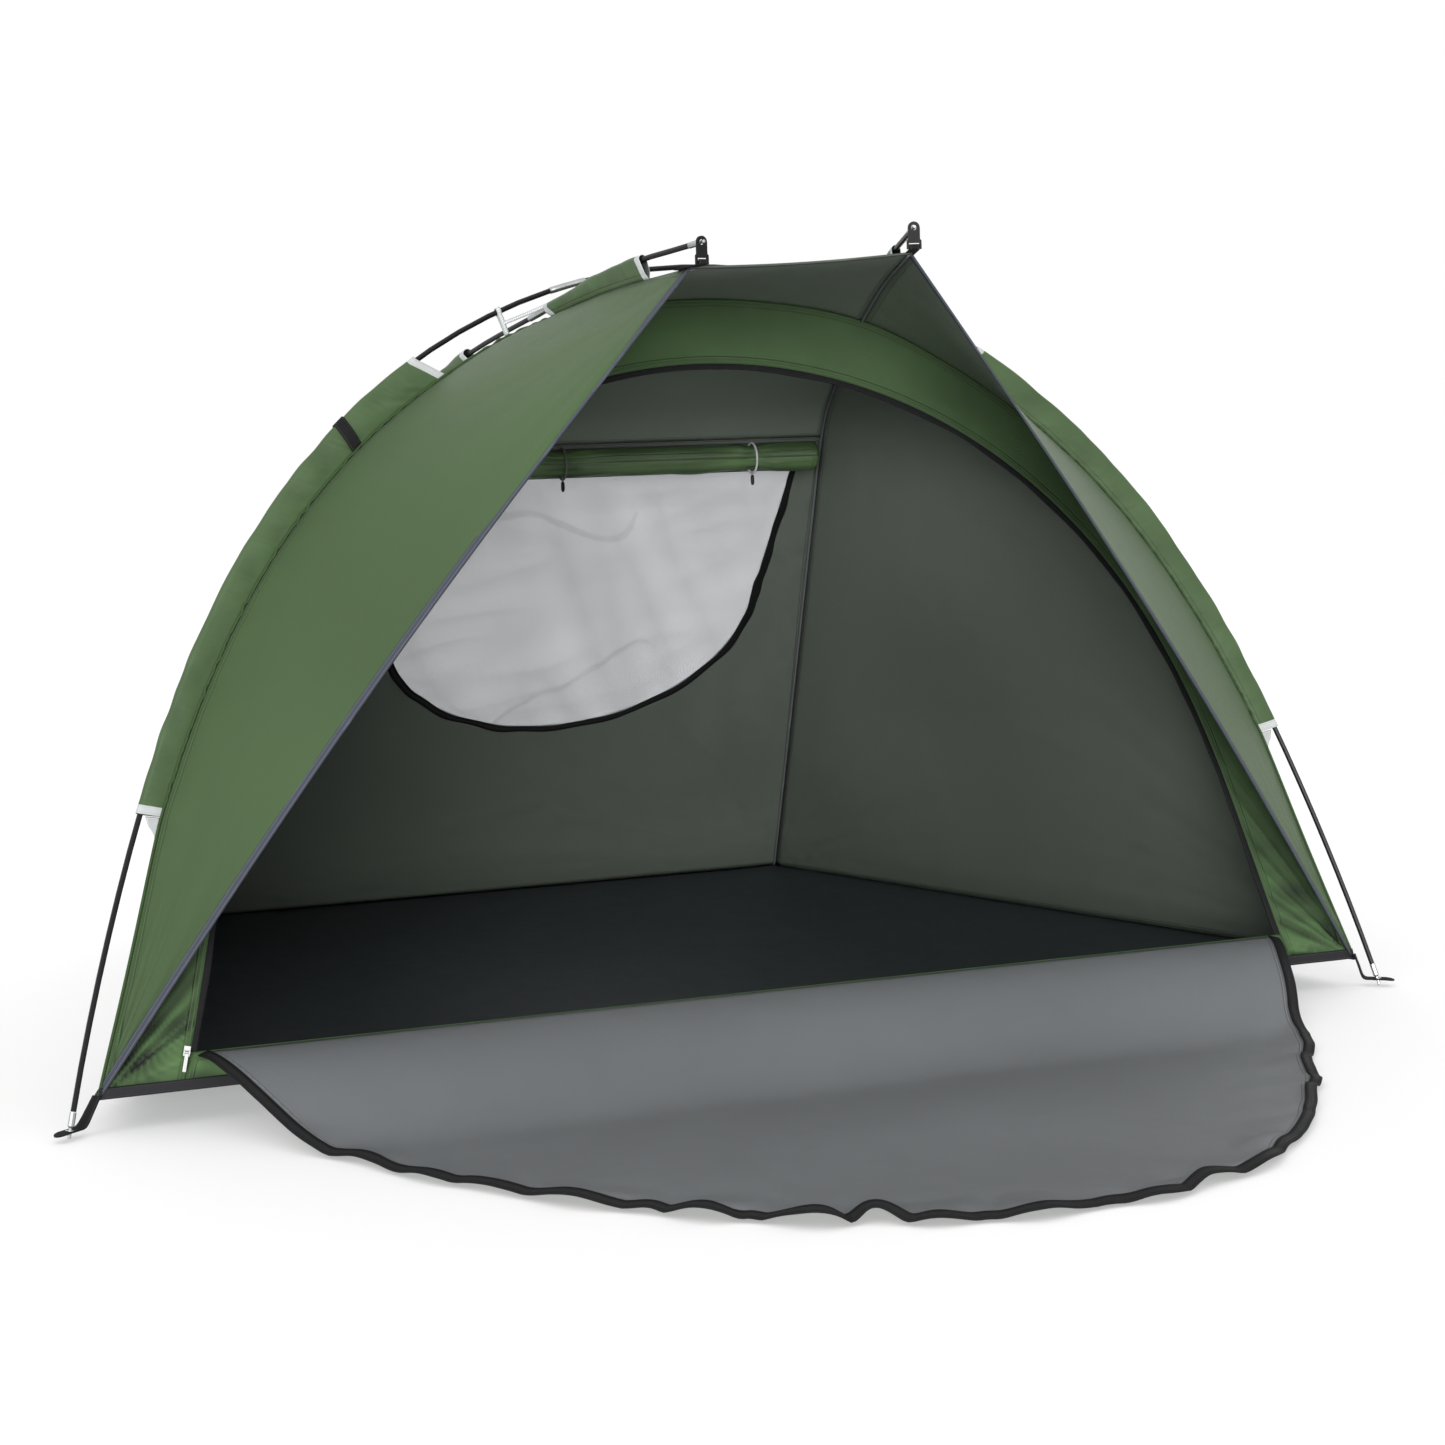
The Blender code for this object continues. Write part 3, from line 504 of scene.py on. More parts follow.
def panel(name, surface, columns, rows, looks, outward=None, sewn="lrbt", still="lrbt", relief=None,
          thick=0.0009, body="tent", cloth="stretched", stands_for=(), closed=False,
          cut=None):
    """Cloth over surface(u, v), both from 0 to 1.

    sewn and still name edges by l, r, b and t. Looks darken along the sewn ones, and relief fades to
    nothing at the still ones. The lengths go to the UV map; the cut size gives a flat area that nothing
    keeps.
    """
    spots = [[surface(i / columns, j / rows) for i in range(columns + 1)] for j in range(rows + 1)]
    across, along = [], [[0.0] * (columns + 1)]
    for row in spots:
        far = [0.0]
        for a, b in zip(row, row[1:]):
            far.append(far[-1] + (b - a).length)
        across.append(far)
    for j in range(rows):
        along.append([far + (spots[j + 1][i] - spots[j][i]).length for i, far in enumerate(along[j])])
    shape = bmesh.new()
    bmesh.ops.create_grid(shape, x_segments=columns, y_segments=rows, size=0.5)
    seam_layer = shape.verts.layers.float.new("seam")
    depth_layer = shape.verts.layers.float.new("depth")
    map_layer = shape.loops.layers.uv.new("cloth")
    lengths, hold = {}, {}
    for vertex in shape.verts:
        i, j = round((vertex.co.x + 0.5) * columns), round((vertex.co.y + 0.5) * rows)
        vertex.co = spots[j][i]
        edges = {"l": across[j][i], "r": across[j][-1] - across[j][i], "b": along[j][i],
                 "t": along[-1][i] - along[j][i]}
        vertex[seam_layer] = min([edges[e] for e in sewn] or [1.0])
        lengths[vertex] = (across[j][i], along[j][i])
        hold[vertex] = min(min([edges[e] for e in still] or [1.0]) / STILL_BAND, 1.0)
    for face in shape.faces:
        for loop in face.loops:
            loop[map_layer].uv = lengths[loop.vert]
    shape.normal_update()
    if outward is not None:
        middle = sum((f.normal * f.calc_area() for f in shape.faces), Vector())
        if middle.dot(Vector(outward)) < 0:
            bmesh.ops.reverse_faces(shape, faces=shape.faces)
            shape.normal_update()
    if relief:
        moves = [(v, v.normal.copy(), relief(v.co, *lengths[v], v[seam_layer]) * hold[v])
                 for v in shape.verts]
        for vertex, normal, move in moves:
            vertex.co += normal * move
            # The relief's height goes to the depth attribute, for painted shade in its hollows and painted
            # light on its ridges.
            vertex[depth_layer] = move * FOLD_SHADE_GAIN
    if closed:
        bmesh.ops.remove_doubles(shape, verts=shape.verts, dist=0.0001)
    area = sum(f.calc_area() for f in shape.faces)
    piece = piece_from(shape, name, looks, body, stands_for)
    solid = piece.modifiers.new("Thickness", "SOLIDIFY")
    solid.thickness = thick
    solid.offset = 0.0
    solid.use_even_offset = False
    if len(looks) > 1:
        solid.material_offset = 1
    if cloth:
        width, length = cut or (max(a[-1] for a in across), max(along[-1]))
        flat_area = min(max(area, 0.301 * width * length), width * length)
    return piece


def rays(point, centre, reach, fine, seed):
    """Small folds that run out from a strained corner."""
    away = point - centre
    far = max(away.length, 1e-4)
    spread = away / far * fine + Vector((seed, seed, seed))
    return noise.noise(spread) * min(far / 0.04, 1.0) * math.exp(-far / reach)


def creases(point, centre, reach, fine, seed):
    """Sharp creases that run out from a strained corner."""
    away = point - centre
    far = max(away.length, 1e-4)
    turn = away / far * fine + Vector((seed, seed, away.length * 3))
    return (0.16 - abs(noise.noise(turn))) * min(far / 0.09, 1.0) * math.exp(-far / reach)


def puckers(point, seam, fine=26.0, reach=0.035):
    """Small gathers along a seam."""
    return noise.noise(point * fine) * math.exp(-max(seam, 0.0) / reach)


def slack(point, seam, fine=2.4, reach=0.20):
    """Broad, soft unevenness away from the seams."""
    return noise.noise(point * fine) * (1 - math.exp(-max(seam, 0.0) / reach))


def ribbon(name, points, across, width, looks, body="tent", thick=0.0012, rows=None,
           stands_for=(), columns=4, lift=None):
    """Flat tape along the points; across is its width's direction at each. Width and lift may vary."""
    route = Route(points)
    shares = [far / route.length for far in route.far]

    def surface(u, v):
        k = max(i for i, share in enumerate(shares) if share <= v + 1e-9)
        k = min(k, len(points) - 2)
        part = (v - shares[k]) / max(shares[k + 1] - shares[k], 1e-9)
        wide = across[k].lerp(across[k + 1], part).normalized()
        full = width(v) if callable(width) else width
        spot = points[k].lerp(points[k + 1], part) + wide * full * (u - 0.5)
        return spot if lift is None else spot + lift(u, v)

    return panel(name, surface, columns, rows or len(points) - 1, looks, sewn="lr", thick=thick, body=body,
                 cloth=None, stands_for=stands_for)


def tube(name, points, radius, look, sides=12, stands_for=(), closed=False):
    """A round cord or bar through the points; radius may be a list."""
    radii = radius if isinstance(radius, (list, tuple)) else [radius] * len(points)
    count = len(points)
    shape = bmesh.new()
    map_layer = shape.loops.layers.uv.new("cloth")
    seam_layer = shape.verts.layers.float.new("seam")
    rings, reference = [], Vector((0, 0, 1))
    for k in range(count):
        before = points[(k - 1) % count] if closed or k else points[0]
        after = points[(k + 1) % count] if closed or k < count - 1 else points[-1]
        ahead = (after - before).normalized()
        if abs(ahead.dot(reference)) > 0.95:
            reference = Vector((1, 0, 0)) if abs(ahead.x) < 0.9 else Vector((0, 1, 0))
        side = ahead.cross(reference).normalized()
        reference = side.cross(ahead).normalized()
        place = Matrix((side, reference, ahead)).transposed().to_4x4()
        place.translation = points[k]
        made = bmesh.ops.create_circle(shape, segments=sides, radius=radii[k], matrix=place)["verts"]
        rings.append(made)
    pairs = list(zip(rings, rings[1:])) + ([(rings[-1], rings[0])] if closed else [])
    for a, b in pairs:
        edges = {e for v in a for e in v.link_edges if all(w in a for w in e.verts)}
        edges |= {e for v in b for e in v.link_edges if all(w in b for w in e.verts)}
        bmesh.ops.bridge_loops(shape, edges=list(edges))
    if not closed:
        for ring in (rings[0], rings[-1]):
            bmesh.ops.contextual_create(shape, geom=ring)
    bmesh.ops.recalc_face_normals(shape, faces=shape.faces)
    far = {}
    total = 0.0
    for k, ring in enumerate(rings):
        total += (points[k] - points[k - 1]).length if k else 0.0
        for n, vertex in enumerate(ring):
            far[vertex] = (n / sides * math.tau * radii[k], total)
            vertex[seam_layer] = 1.0
    for face in shape.faces:
        for loop in face.loops:
            loop[map_layer].uv = far[loop.vert]
    return piece_from(shape, name, [look], "tent", stands_for, math.radians(50))


def sew_wings(sizes):
    """The two side wings, with a free front edge bound in tape."""
    for word, side in SIDES.items():
        ridge = RIDGES[side]
        peak, corner = ridge.seam.at(0), mirrored(hoop_seam(HEM_ANGLE), side)
        bow = Vector((0.65 * side, 0.0, 0.55)) * WING_BOW

        def free_edge(down, peak=peak, corner=corner, bow=bow):
            return peak.lerp(corner, down) + bow * math.sin(math.pi * down)

        def surface(u, v, side=side, ridge=ridge, peak=peak, free_edge=free_edge):
            down = v * 0.996
            top = ridge.seam.at(ridge.crossing * (1 - u)) - ridge.seam.at(ridge.crossing).lerp(peak, u)
            return seam_down(down, side).lerp(free_edge(down), u) + top * (1 - down) ** 3

        def relief(point, across, along, seam, peak=peak, corner=corner):
            folds = rays(point, corner, 0.17, 13.0, 2.0) * 0.007
            folds += rays(point, peak, 0.22, 9.0, 5.0) * 0.004
            folds += creases(point, corner, 0.20, 17.0, 4.0) * 0.006
            folds += creases(point, peak, 0.16, 14.0, 9.0) * 0.004
            return folds + puckers(point, seam) * 0.0022 + slack(point, seam) * 0.010

        panel(f"{word}_wing_cloth", surface, 48, 120, ("green", "wing_inside"), (side, -0.6, 0.5),
              sewn="lb", relief=relief, stands_for=[f"{word}_wing"])
        count = 60
        edge = [free_edge(k / count) for k in range(count + 1)]
        inward = [(seam_down(k / count, side) - edge[k]) for k in range(count + 1)]
        inward = [v.normalized() if v.length > 0.03 else inward[count // 2].normalized() for v in inward]
        ribbon(f"{word}_wing_binding", [p + w * 0.004 for p, w in zip(edge, inward)], inward,
               sizes.binding, ("binding",), thick=0.0030)


def sew_side_walls():
    """The side walls, each from the hoop's seam back to its ridge."""
    for word, side in SIDES.items():
        ridge = RIDGES[side]
        corner = mirrored(hoop_seam(HEM_ANGLE), side)

        def surface(u, v, side=side, ridge=ridge):
            run = ridge.crossing + (ridge.seam.length - ridge.crossing) * v
            return seam_down(v, side).lerp(ridge.seam.at(run), u)

        foot, tie = ridge.seam.at(ridge.seam.length), ridge.seam.at(ridge.crossing)

        def relief(point, across, along, seam, corner=corner, foot=foot, tie=tie):
            folds = rays(point, corner, 0.20, 12.0, 1.0) * 0.006
            folds += creases(point, corner, 0.30, 15.0, 6.0) * 0.008
            folds += creases(point, foot, 0.35, 16.0, 3.0) * 0.009
            folds += creases(point, tie, 0.30, 12.0, 8.0) * 0.009
            return folds + puckers(point, seam) * 0.0018 + slack(point, seam, 1.9) * 0.012

        panel(f"{word}_wall_cloth", surface, 64, 96, ("green", "wall_inside"), (side, 0.3, 0.6),
              relief=relief, stands_for=[f"{word}_side_wall"])


def sew_top():
    """The visor before the hoop, the roof behind it, and the hem along the eave."""
    left, right = RIDGES[-1].seam, RIDGES[1].seam
    top, far = CROSSING_ANGLE, RIDGES[1].crossing

    def arc(u):
        return hoop_seam(math.pi - top + (2 * top - math.pi) * u)

    def visor(u, v):
        eave = left.at(0).lerp(right.at(0), u) + Vector((0, 0, -0.004)) * math.sin(math.pi * u)
        straight = left.at(far).lerp(right.at(far), u)
        spot = left.at(far * (1 - v)).lerp(right.at(far * (1 - v)), u)
        sag = (eave - left.at(0).lerp(right.at(0), u)) * v
        return spot + (arc(u) - straight) * (1 - v) ** 1.3 + sag

    def roof(u, v):
        run = far + (BACK_SEAM_RUN - far) * v
        straight = left.at(far).lerp(right.at(far), u)
        return left.at(run).lerp(right.at(run), u) + (arc(u) - straight) * (1 - v) ** 1.6

    def relief(point, across, along, seam):
        return puckers(point, seam) * 0.0016 + slack(point, seam, 3.0, 0.12) * 0.005

    panel("visor_cloth", visor, 60, 48, ("green", "visor_lit_coating"), (0, 0, 1), sewn="lrb", relief=relief,
          stands_for=["visor"])
    panel("roof_cloth", roof, 60, 48, ("green", "roof_lit_coating"), (0, 0, 1), relief=relief,
          stands_for=["roof"])
    eave = [left.at(0).lerp(right.at(0), k / 24) + Vector((0, 0.003, -0.004)) * math.sin(math.pi * k / 24)
            for k in range(25)]
    ribbon("visor_eave_hem", eave, [Vector((0, 1, -0.12)).normalized()] * 25, 0.010, ("coated_hem",),
           thick=0.0028)


def sew_front():
    """The cloth round the doorway and the sill below it."""
    low = HEM_ANGLE
    door_low = math.asin(HEM_UP / (DOORWAY_REACH * (1 + DOORWAY_SHAPE[1] * 0.055)))

    def band(u, v):
        angle = math.pi - low + (2 * low - math.pi) * u
        door_angle = math.pi - door_low + (2 * door_low - math.pi) * u
        return doorway_point(door_angle).lerp(hoop_seam(angle), v)

    corners = [mirrored(hoop_seam(HEM_ANGLE), side) for side in (-1, 1)]

    def relief(point, across, along, seam):
        folds = sum(rays(point, corner, 0.15, 8.0, 3.0) for corner in corners) * 0.012
        folds += sum(creases(point, corner, 0.22, 15.0, 7.0) for corner in corners) * 0.018
        low_folds = noise.noise(Vector((point.x * 14, 0, point.z * 40)))
        low_folds = low_folds * math.exp(-point.z / 0.13) * 0.010
        gathers = puckers(point, seam, 30.0, 0.02) * 0.0022
        return folds + low_folds + gathers + slack(point, seam, 6.0, 0.04) * 0.005

    panel("front_arch_cloth", band, 520, 30, ("green_front", "coated"), (0, -1, 0.2), relief=relief,
          stands_for=["front_arch_band"])

    def sill(u, v):
        up = HEM_UP + (SILL_UP - HEM_UP) * v
        half = 0.8905 - 0.0135 * v
        return on_front(half * (2 * u - 1), up, 0.0006)

    def sill_relief(point, across, along, seam):
        return (noise.noise(Vector((point.x * 12, 0, point.z * 60))) * 0.007
                + noise.noise(Vector((point.x * 30, 0, point.z * 9))) * 0.003) * min(seam / 0.008, 1.0)

    panel("sill_cloth", sill, 240, 12, ("green_front", "coated"), (0, -1, 0.2), sewn="lrt",
          relief=sill_relief, stands_for=["front_sill"])


def wall_point(x, up):
    """A point of the back wall by its place across and its distance up from the hem."""
    run = RIDGES[1].seam.length - up
    left, right = RIDGES[-1].seam.at(run), RIDGES[1].seam.at(run)
    return left.lerp(right, (x - left.x) / (right.x - left.x))


def window_half(up):
    """Half the window's width at this height up the wall."""
    drop = (WINDOW_LOW + WINDOW_ROUND - up) / WINDOW_ROUND
    return WINDOW_HALF * math.sqrt(max(0.0, 1 - drop * drop)) if drop > 0 else WINDOW_HALF


def window_edge(count):
    """The window's outline, from its top left corner down round to its top right one."""
    centre = WINDOW_LOW + WINDOW_ROUND
    down = [(-WINDOW_HALF, WINDOW_TOP - (WINDOW_TOP - centre) * k / count) for k in range(count)]
    turns = [math.pi + math.pi * k / (2 * count) for k in range(2 * count)]
    bowl = [(WINDOW_HALF * math.cos(turn), centre + WINDOW_ROUND * math.sin(turn)) for turn in turns]
    up = [(WINDOW_HALF, centre + (WINDOW_TOP - centre) * k / count) for k in range(count + 1)]
    return down + bowl + up


def sew_back():
    """The back wall with its window cut out, the net, and the tapes round them."""
    full_up = RIDGES[1].seam.length - BACK_SEAM_RUN
    loop = window_edge(16)
    steps = 12
    loop += [(WINDOW_HALF - 2 * WINDOW_HALF * k / steps, WINDOW_TOP) for k in range(1, steps)]
    loop.append(loop[0])
    centre = (0.0, 0.5 * (WINDOW_LOW + WINDOW_TOP) + 0.05)

    def rim(x, up):
        """Where the line from the window's middle through this point meets the wall's edge."""
        dx, dup = x - centre[0], up - centre[1]
        scale = 9.0
        if dup > 0:
            scale = min(scale, (full_up - centre[1]) / dup)
        if dup < 0:
            scale = min(scale, -centre[1] / dup)
        taper = (RIDGE_HALF_BACK - BACK_HALF_TOP) / full_up
        reach = abs(dx) + taper * dup
        if reach > 0:
            half_here = RIDGE_HALF_BACK - taper * centre[1]
            scale = min(scale, half_here / reach)
        return centre[0] + dx * scale, centre[1] + dup * scale

    outer = [rim(*spot) for spot in loop]
    for corner in ((-RIDGE_HALF_BACK, 0.0), (RIDGE_HALF_BACK, 0.0), (-BACK_HALF_TOP, full_up),
                   (BACK_HALF_TOP, full_up)):
        near = min(range(len(outer) - 1), key=lambda k: math.dist(outer[k], corner))
        outer[near] = corner
        if near == 0:
            outer[-1] = corner
    cells = len(loop) - 1

    def surface(u, v):
        spot = u * cells
        k = min(int(spot + 1e-6), cells - 1)
        part = spot - k
        near = [loop[k][i] + (loop[k + 1][i] - loop[k][i]) * part for i in (0, 1)]
        far = [outer[k][i] + (outer[k + 1][i] - outer[k][i]) * part for i in (0, 1)]
        x, up = near[0] + (far[0] - near[0]) * v, near[1] + (far[1] - near[1]) * v
        left, right = RIDGES[-1].seam, RIDGES[1].seam
        run = right.length - min(max(up, 0.0), full_up)
        half = right.at(run).x
        return left.at(run).lerp(right.at(run), 0.5 + 0.5 * max(-1.0, min(1.0, x / half)))

    foot_left, foot_right = wall_point(-0.6, 0.0), wall_point(0.6, 0.0)

    def relief(point, across, along, seam):
        folds = sum(creases(point, foot, 0.30, 15.0, 2.0) for foot in (foot_left, foot_right)) * 0.008
        return folds + puckers(point, seam, 24.0, 0.03) * 0.0020 + slack(point, seam, 2.2, 0.10) * 0.007

    panel("back_wall_cloth", surface, cells * 3, 36, ("green", "coated_back"), (0, 0.7, 0.7), sewn="tb",
          still="tb", relief=relief, stands_for=["back_wall"], closed=True,
          cut=(2 * RIDGE_HALF_BACK, full_up))

    def net(u, v):
        up = WINDOW_LOW + 0.0015 + (WINDOW_TOP + 0.002 - WINDOW_LOW) * v
        return wall_point((window_half(min(up, WINDOW_TOP)) + 0.001) * (2 * u - 1), up)

    def net_relief(point, across, along, seam):
        drape = abs(noise.noise(Vector((point.x * 10 + point.z * 6, point.z * 2.5, 1.0)))) * 0.014
        fine = abs(noise.noise(Vector((point.x * 5 - point.z * 6, point.z * 13, 3.0)))) * 0.008
        return (drape + fine + noise.noise(point * 4) * 0.004 - 0.004) * min(max(seam, 0) / 0.04, 1.0)

    panel("window_net", net, 90, 90, ("net",), (0, 0.7, 0.7), relief=net_relief, thick=0.0004,
          stands_for=["window_mesh"])
    edge = window_edge(40)
    line = [wall_point(x, up) for x, up in edge]
    middle = wall_point(0, 0.9)
    wide = [(middle - p).normalized() for p in line]
    inward = (BACK_PLANE.to_3x3() @ Vector((0, 0, 1))).normalized()

    def wave(u, v):
        return inward * (0.0026 + 0.0018 * math.sin(v * 88))

    def uneven(v):
        return 0.0150 + 0.0050 * noise.noise(Vector((v * 26, 0, 0)))

    facing_line = [p - w * 0.007 - inward * 0.0016 for p, w in zip(line, wide)]
    ribbon("window_facing", facing_line, wide, 0.016, ("green",), thick=0.0008)
    line = [p - w * (0.0040 + 0.0040 * noise.noise(Vector((k * 0.21, 5, 0))))
            for k, (p, w) in enumerate(zip(line, wide))]
    ribbon("window_zip", line, wide, uneven, ("zip",), thick=0.0016, lift=wave)
    tape = [wall_point(-0.386 + 0.772 * k / 40, full_up - 0.006) + inward * 0.0026 for k in range(41)]
    ribbon("roof_seam_tape", tape, [(BACK_PLANE.to_3x3() @ Vector((0, 1, 0))).normalized()] * 41, 0.006,
           ("dull_tape",), thick=0.0012)


def roll_flap():
    """The window's cover, rolled up and held under the roof seam by two elastic loops."""
    centre = BACK_PLANE @ Vector((0, ROLL_UP, ROLL_IN))
    up = (BACK_PLANE.to_3x3() @ Vector((0, 1, 0))).normalized()
    inward = (BACK_PLANE.to_3x3() @ Vector((0, 0, 1))).normalized()
    turns = 6.0

    def surface(u, v):
        x = ROLL_HALF * (2 * u - 1) * (1.0 + 0.012 * math.sin(v * 9))
        nip = min(abs(x - LOOP_PLACES["left"]), abs(x - LOOP_PLACES["right"]))
        tight = 1 - 0.16 * math.exp(-(nip / 0.02) ** 2)
        radius = ROLL_RADIUS * (0.25 + 0.75 * v) * tight
        turn = math.tau * turns * v + math.pi * 0.25
        return centre + Vector((x, 0, 0)) + (up * math.cos(turn) + inward * math.sin(turn)) * radius

    def relief(point, across, along, seam):
        out = point - centre
        nip = min(abs(out.x - LOOP_PLACES["left"]), abs(out.x - LOOP_PLACES["right"]))
        gather = noise.noise(Vector((out.x * 6, out.y * 190, out.z * 190)))
        gather *= 0.25 + math.exp(-nip / 0.07)
        return noise.noise(Vector((out.x * 11, out.y * 40, out.z * 40))) * 0.004 + gather * 0.0045

    panel("rolled_flap_cloth", surface, 120, 216, ("green_roll",), sewn="lrt", still="", relief=relief,
          cloth="folded", stands_for=["rolled_window_flap"])
    for word, across in LOOP_PLACES.items():
        middle = centre + Vector((across, 0, 0))
        spots = [middle + (up * math.cos(math.tau * k / 40) + inward * math.sin(math.tau * k / 40))
                 * (ROLL_RADIUS + 0.0018) for k in range(40)]
        look = "dull_tape" if word == "left" else "elastic"
        tube(f"{word}_flap_elastic", spots, 0.0019, look, sides=8, closed=True,
             stands_for=[f"flap_loop_{word}"])


def sew_floor():
    """The groundsheet, whose edges rise to the hems like a tray."""
    back = RIDGE_SEAM[-1][0]
    front = HEM_UP * math.sin(HOOP_LEAN)
    corner = hoop_seam(HEM_ANGLE)
    ground = 0.0016

    def ease(x):
        x = min(max(x, 0.0), 1.0)
        return x * x * (3 - 2 * x)

    def surface(u, v):
        half = corner.x + (RIDGE_HALF_BACK - corner.x) * v
        edge = abs(2 * u - 1)
        high = corner.z + (RIDGE_SEAM[-1][1] - corner.z) * v
        rise = max(1 - ease(v / 0.15), ease((edge - 0.62) / 0.38), ease((v - 0.985) / 0.015))
        return at(half * (2 * u - 1), front + (back - front) * v, ground + (high - ground) * rise)

    def relief(point, across, along, seam):
        rumple = abs(noise.noise(point * 4.5)) * 0.0035 * min(seam / 0.1, 1)
        return rumple + puckers(point, seam, 20.0) * 0.0012

    panel("floor_cloth", surface, 110, 110, ("floor",), (0, 0, 1), relief=relief, thick=0.0012,
          cloth="laid", stands_for=["floor"])


def door_outline(reached):
    """Half the door's width at this share of its reach, with its corners drawn out to the doorway."""
    half = DOOR_HALF * (1 - min(reached, 1.0) ** DOOR_FULL) ** (1 / DOOR_BLUNT)
    return half + DOOR_CORNER * (1 - reached) ** 6


def sew_door(sizes):
    """The unzipped door, hanging from its sill and laid out on the ground, its zip edge in loose waves."""
    hinge = on_front(0, SILL_UP - 0.002, 0.005)
    sweep = math.radians(84)
    last = math.sin(sweep)

    def rim_wave(x, run):
        return noise.noise(Vector((x * 10.5, run * 10.5, 2.0)))

    def surface(u, v):
        reached = math.sin(sweep * v)
        run = DOOR_REACH * reached
        half = door_outline(reached) - 0.010
        x = half * (1 - 2 * u)
        x += max(1 - 2 * u, 0.0) * (0.050 * reached**6 - 0.028 * math.sin(math.pi * reached))
        edge = min(half * (1 - abs(1 - 2 * u)), DOOR_REACH * last - run)
        near_rim = math.exp(-max(edge, 0.0) / RIM_REACH)
        wave = rim_wave(x, run) * (1 - 0.8 * math.exp(-((x / 0.09) ** 2)))
        drop = min(run / (DOOR_DROP * 1.7), 1.0)
        fall = (hinge.z - 0.002) * (1 - drop * drop * (3 - 2 * drop))
        settled = min(run / 0.22, 1.0)
        swell = 0.006 * (0.4 + noise.noise(Vector((x * 2.6, run * 3.4, 0))))
        lift = settled * ((0.003 + (0.006 + 0.034 * reached**2) * abs(wave)) * near_rim + swell)
        scallop = 0.018 + 0.026 * reached**3
        spread = 1 + 0.012 * wave * near_rim * settled
        forward = run * (1 + scallop * wave * near_rim * settled)
        return Vector((x * spread + DOOR_SKEW * reached, hinge.y - forward, 0.002 + fall + lift))

    def relief(point, across, along, seam):
        sag = noise.noise(Vector((point.x * 1.7, point.y * 3.0, 5))) * 0.004
        return sag * min(seam / 0.1, 1)

    panel("door_cloth", surface, 120, 110, ("door", "green"), (0, 0, 1), relief=relief, body="door",
          cloth="laid", stands_for=["door_panel"])
    count = 130
    left = [surface(1, k / count) for k in range(count + 1)]
    right = [surface(0, k / count) for k in range(count + 1)]
    tip = [surface(1 - k / 16, 1) for k in range(1, 16)]
    line = left + tip + right[::-1]
    middle = Vector((0.02, hinge.y - 0.35, 0.01))
    sideways = Vector((line[0].x - middle.x, line[0].y - middle.y, 0)).normalized()
    smooth = Route(line)
    points = [smooth.at(smooth.length * k / 420) for k in range(421)]
    wide = []
    for k in range(421):
        ahead = smooth.direction(smooth.length * k / 420, 0.01)
        out = ahead.cross(Vector((0, 0, 1)))
        if out.length < 0.2:
            out = sideways
        wide.append(out.normalized() * (-1 if out.dot(points[k] - middle) < 0 else 1))

    def flutter(u, v):
        ripple = 0.0032 * math.sin(v * 150) * noise.noise(Vector((v * 31, 0, 3)))
        return Vector((0, 0, (-0.0042 + ripple) * u + 0.0014))

    ribbon("door_zip", [p + w * 0.0045 for p, w in zip(points, wide)], wide, sizes.door_zip, ("zip",),
           body="door", thick=0.0018, lift=flutter)


def sleeve(name, seam, pole, stands_for, rows, bore, girth, skew):
    """A cloth channel from its seam, round a pole and back, with taped ends cut aslant."""

    def surface(u, v):
        root, centre = seam(v + skew[0] * (1 - v) + skew[1] * v), pole(v)
        ahead = (pole(min(v + 0.01, 1.0)) - pole(max(v - 0.01, 0.0))).normalized()
        outward = centre - root
        outward = (outward - ahead * outward.dot(ahead)).normalized()
        sideways = ahead.cross(outward)
        swing = -1 + 2 * u
        gather = 0.0014 * noise.noise(Vector((v * rows * 0.9, swing * 1.5, len(name))))
        if abs(swing) > 0.45:
            out = (1 - abs(swing)) / 0.55
            flat = root.lerp(centre, out)
            puff = math.sin(math.pi * out) * (0.0012 + gather)
            return flat + sideways * math.copysign(1, swing) * (0.0006 + (bore - 0.0006) * out + puff)
        turn = swing / 0.45 * math.pi / 2
        return centre + (outward * math.cos(turn) + sideways * math.sin(turn)) * bore

    def relief(point, across, along, end):
        in_from_seam = min(across, max(girth - across, 0.0))
        pinch = noise.noise(Vector((along * 60, in_from_seam * 25, len(name))))
        pinch *= math.exp(-in_from_seam / 0.012)
        return pinch * 0.0048 + noise.noise(point * 22) * 0.0022

    return panel(name, surface, 28, rows, ("sleeve", "coated"), sewn="bt", still="lr", relief=relief,
                 thick=0.0007, stands_for=stands_for)


